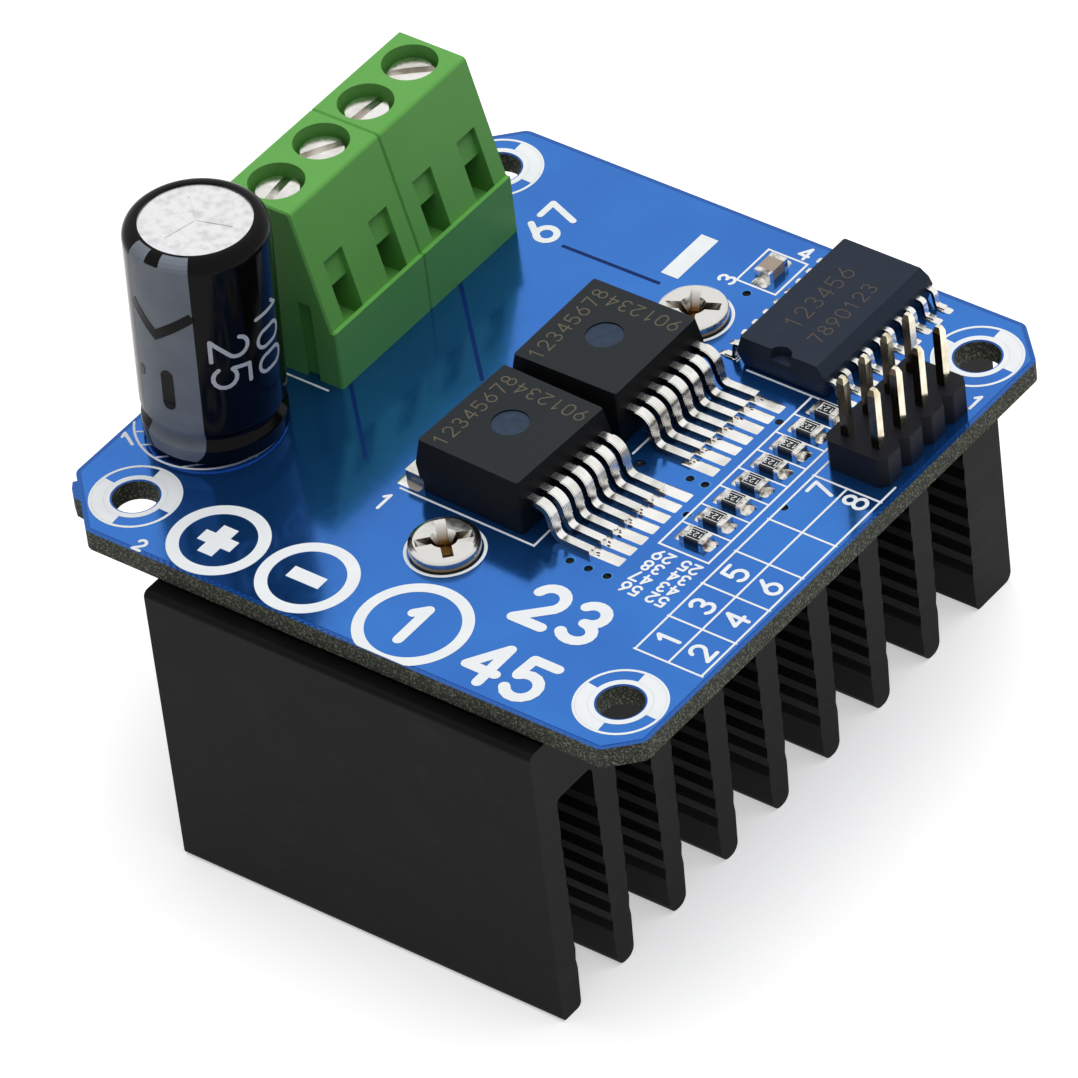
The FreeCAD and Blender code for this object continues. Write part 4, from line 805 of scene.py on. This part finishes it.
# dark marks on the stripe: a chevron, a bar, a short stroke, and a tongue over the shoulder
dark = round_can([bar(divided([(-2.5, 13.2), (-0.4, 11.2), (2.5, 13.3)], 0.25), 0.72, 0.0, 0.06)], STRIPE_MIDDLE)
dark += round_can([pen_stroke([(0.2, 5.4), (0.2, 7.8)], 0.95, 0.0, 0.07),
                   pen_stroke([(-2.2, 7.0), (-2.2, 7.4)], 0.5, 0.0, 0.05)], STRIPE_MIDDLE)
dark.append(film_patch(16.9, 18.0, -6.5, 6.5, STRIPE_MIDDLE - 3, full_width, 0.035, 8))
mesh_piece("sleeve_stripe_marks", dark, "sleeve")
figures = round_can(number("25", 0, 9.0, 2.7, -90, 0.3, -0.01, 0.02, 1.45, 0.2), -32.0)
figures += round_can(number("100", 0, 9.6, 2.3, -90, 0.27, -0.01, 0.02, 1.45, 0.2), 6.0)
mesh_piece("sleeve_numbers", figures, "sleeve_white")


def seen_directly(tree):
    """1 for rays that the eye follows, straight or by a mirror, and 0 for rays that bring light."""
    path = add(tree, "LightPath")
    return maths(tree, "MAXIMUM", path.outputs["Is Camera Ray"], path.outputs["Is Glossy Ray"])


# Floor, surroundings and lamp, in metres
HALF_FLOOR = 3.0
floor_mesh = bpy.data.meshes.new("pale_floor")
floor_mesh.from_pydata([(x * HALF_FLOOR, y * HALF_FLOOR, 0) for x, y in ((-1, -1), (1, -1), (1, 1), (-1, 1))], [],
                       [(0, 1, 2, 3)])
floor = new_object("pale_floor", floor_mesh)
paper, tree, shader, place, _ = finish_of("white_paper_floor", Roughness=0.9, Specular_IOR_Level=0.1)
feed(tree, blend_colours(tree, speckle(tree, place, 30.0), "E2E2E2", "E5E5E5"), shader, "Base Color")
# a glow that only the eye sees lifts the paper to white
glow = add(tree, "Emission", {"Color": to_linear("FFFFFF"),
                              "Strength": maths(tree, "MULTIPLY", seen_directly(tree), 0.5)})
both = add(tree, "AddShader", {0: shader.outputs[0], 1: glow.outputs[0]})
tree.links.new(both.outputs[0], tree.nodes["Material Output"].inputs[0])
floor_mesh.materials.append(paper)

world = bpy.data.worlds.new("white_surroundings")
bpy.context.scene.world = world
world.use_nodes = True
tree = world.node_tree
tree.nodes.clear()
# white where it is seen, and a fifth of that as light
seen = maths(tree, "MAXIMUM", seen_directly(tree), add(tree, "LightPath").outputs["Is Transmission Ray"])
strength = in_range(tree, seen, 0.0, 1.0, 0.2, 1.0)
sky = add(tree, "Background", {"Color": to_linear("FFFFFF"), "Strength": strength})
add(tree, "OutputWorld", {"Surface": sky.outputs[0]})


def lamp(name, watts, size, place, target):
    """Square soft box of so many metres that faces its target. Glossy rays pass it, so that metal and solder
    mask mirror the even white surroundings and not the box."""
    data = bpy.data.lights.new(name, "AREA")
    data.energy = watts
    data.size = size
    made = new_object(name, data)
    made.location = place
    made.rotation_euler = (Vector(target) - Vector(place)).to_track_quat("-Z", "Y").to_euler()
    made.visible_glossy = False


MIDDLE = (0.0, 0.0, 0.022)
lamp("key_soft_box", 7.4, 0.9, (0.02, 0.12, 0.8), MIDDLE)

# The camera's place and turn were found from the picture's straight edges, round the middle of the holes.
HOLE_MIDDLE = Vector((0.75, 0.0, 25.8))
AZIMUTH, ELEVATION, ROLL = (math.radians(v) for v in (41.4664611, 40.3055791, 7.18369622))
VIEW_SHIFT = (-1.25631323, -7.61484823)
VIEW_DISTANCE = 681.390524
FOCAL_PIXELS = 10045.5773
FRAME_PIXELS = 1078

back = Vector((math.cos(ELEVATION) * math.sin(AZIMUTH), -math.cos(ELEVATION) * math.cos(AZIMUTH),
               math.sin(ELEVATION)))
right = Vector((math.cos(AZIMUTH), math.sin(AZIMUTH), 0.0))
up = back.cross(right)
right, up = (math.cos(ROLL) * right - math.sin(ROLL) * up, math.sin(ROLL) * right + math.cos(ROLL) * up)
camera_data = bpy.data.cameras.new("camera")
camera_data.sensor_width = 36.0
camera_data.lens = FOCAL_PIXELS / FRAME_PIXELS * camera_data.sensor_width
camera_data.clip_start = 0.01
camera = new_object("camera", camera_data)
spot = HOLE_MIDDLE + VIEW_SHIFT[0] * right + VIEW_SHIFT[1] * up + VIEW_DISTANCE * back
camera.matrix_world = Matrix.Translation(spot * MM) @ Matrix((right, up, back)).transposed().to_4x4()
bpy.context.scene.camera = camera
bpy.context.scene.view_settings.view_transform = "Standard"
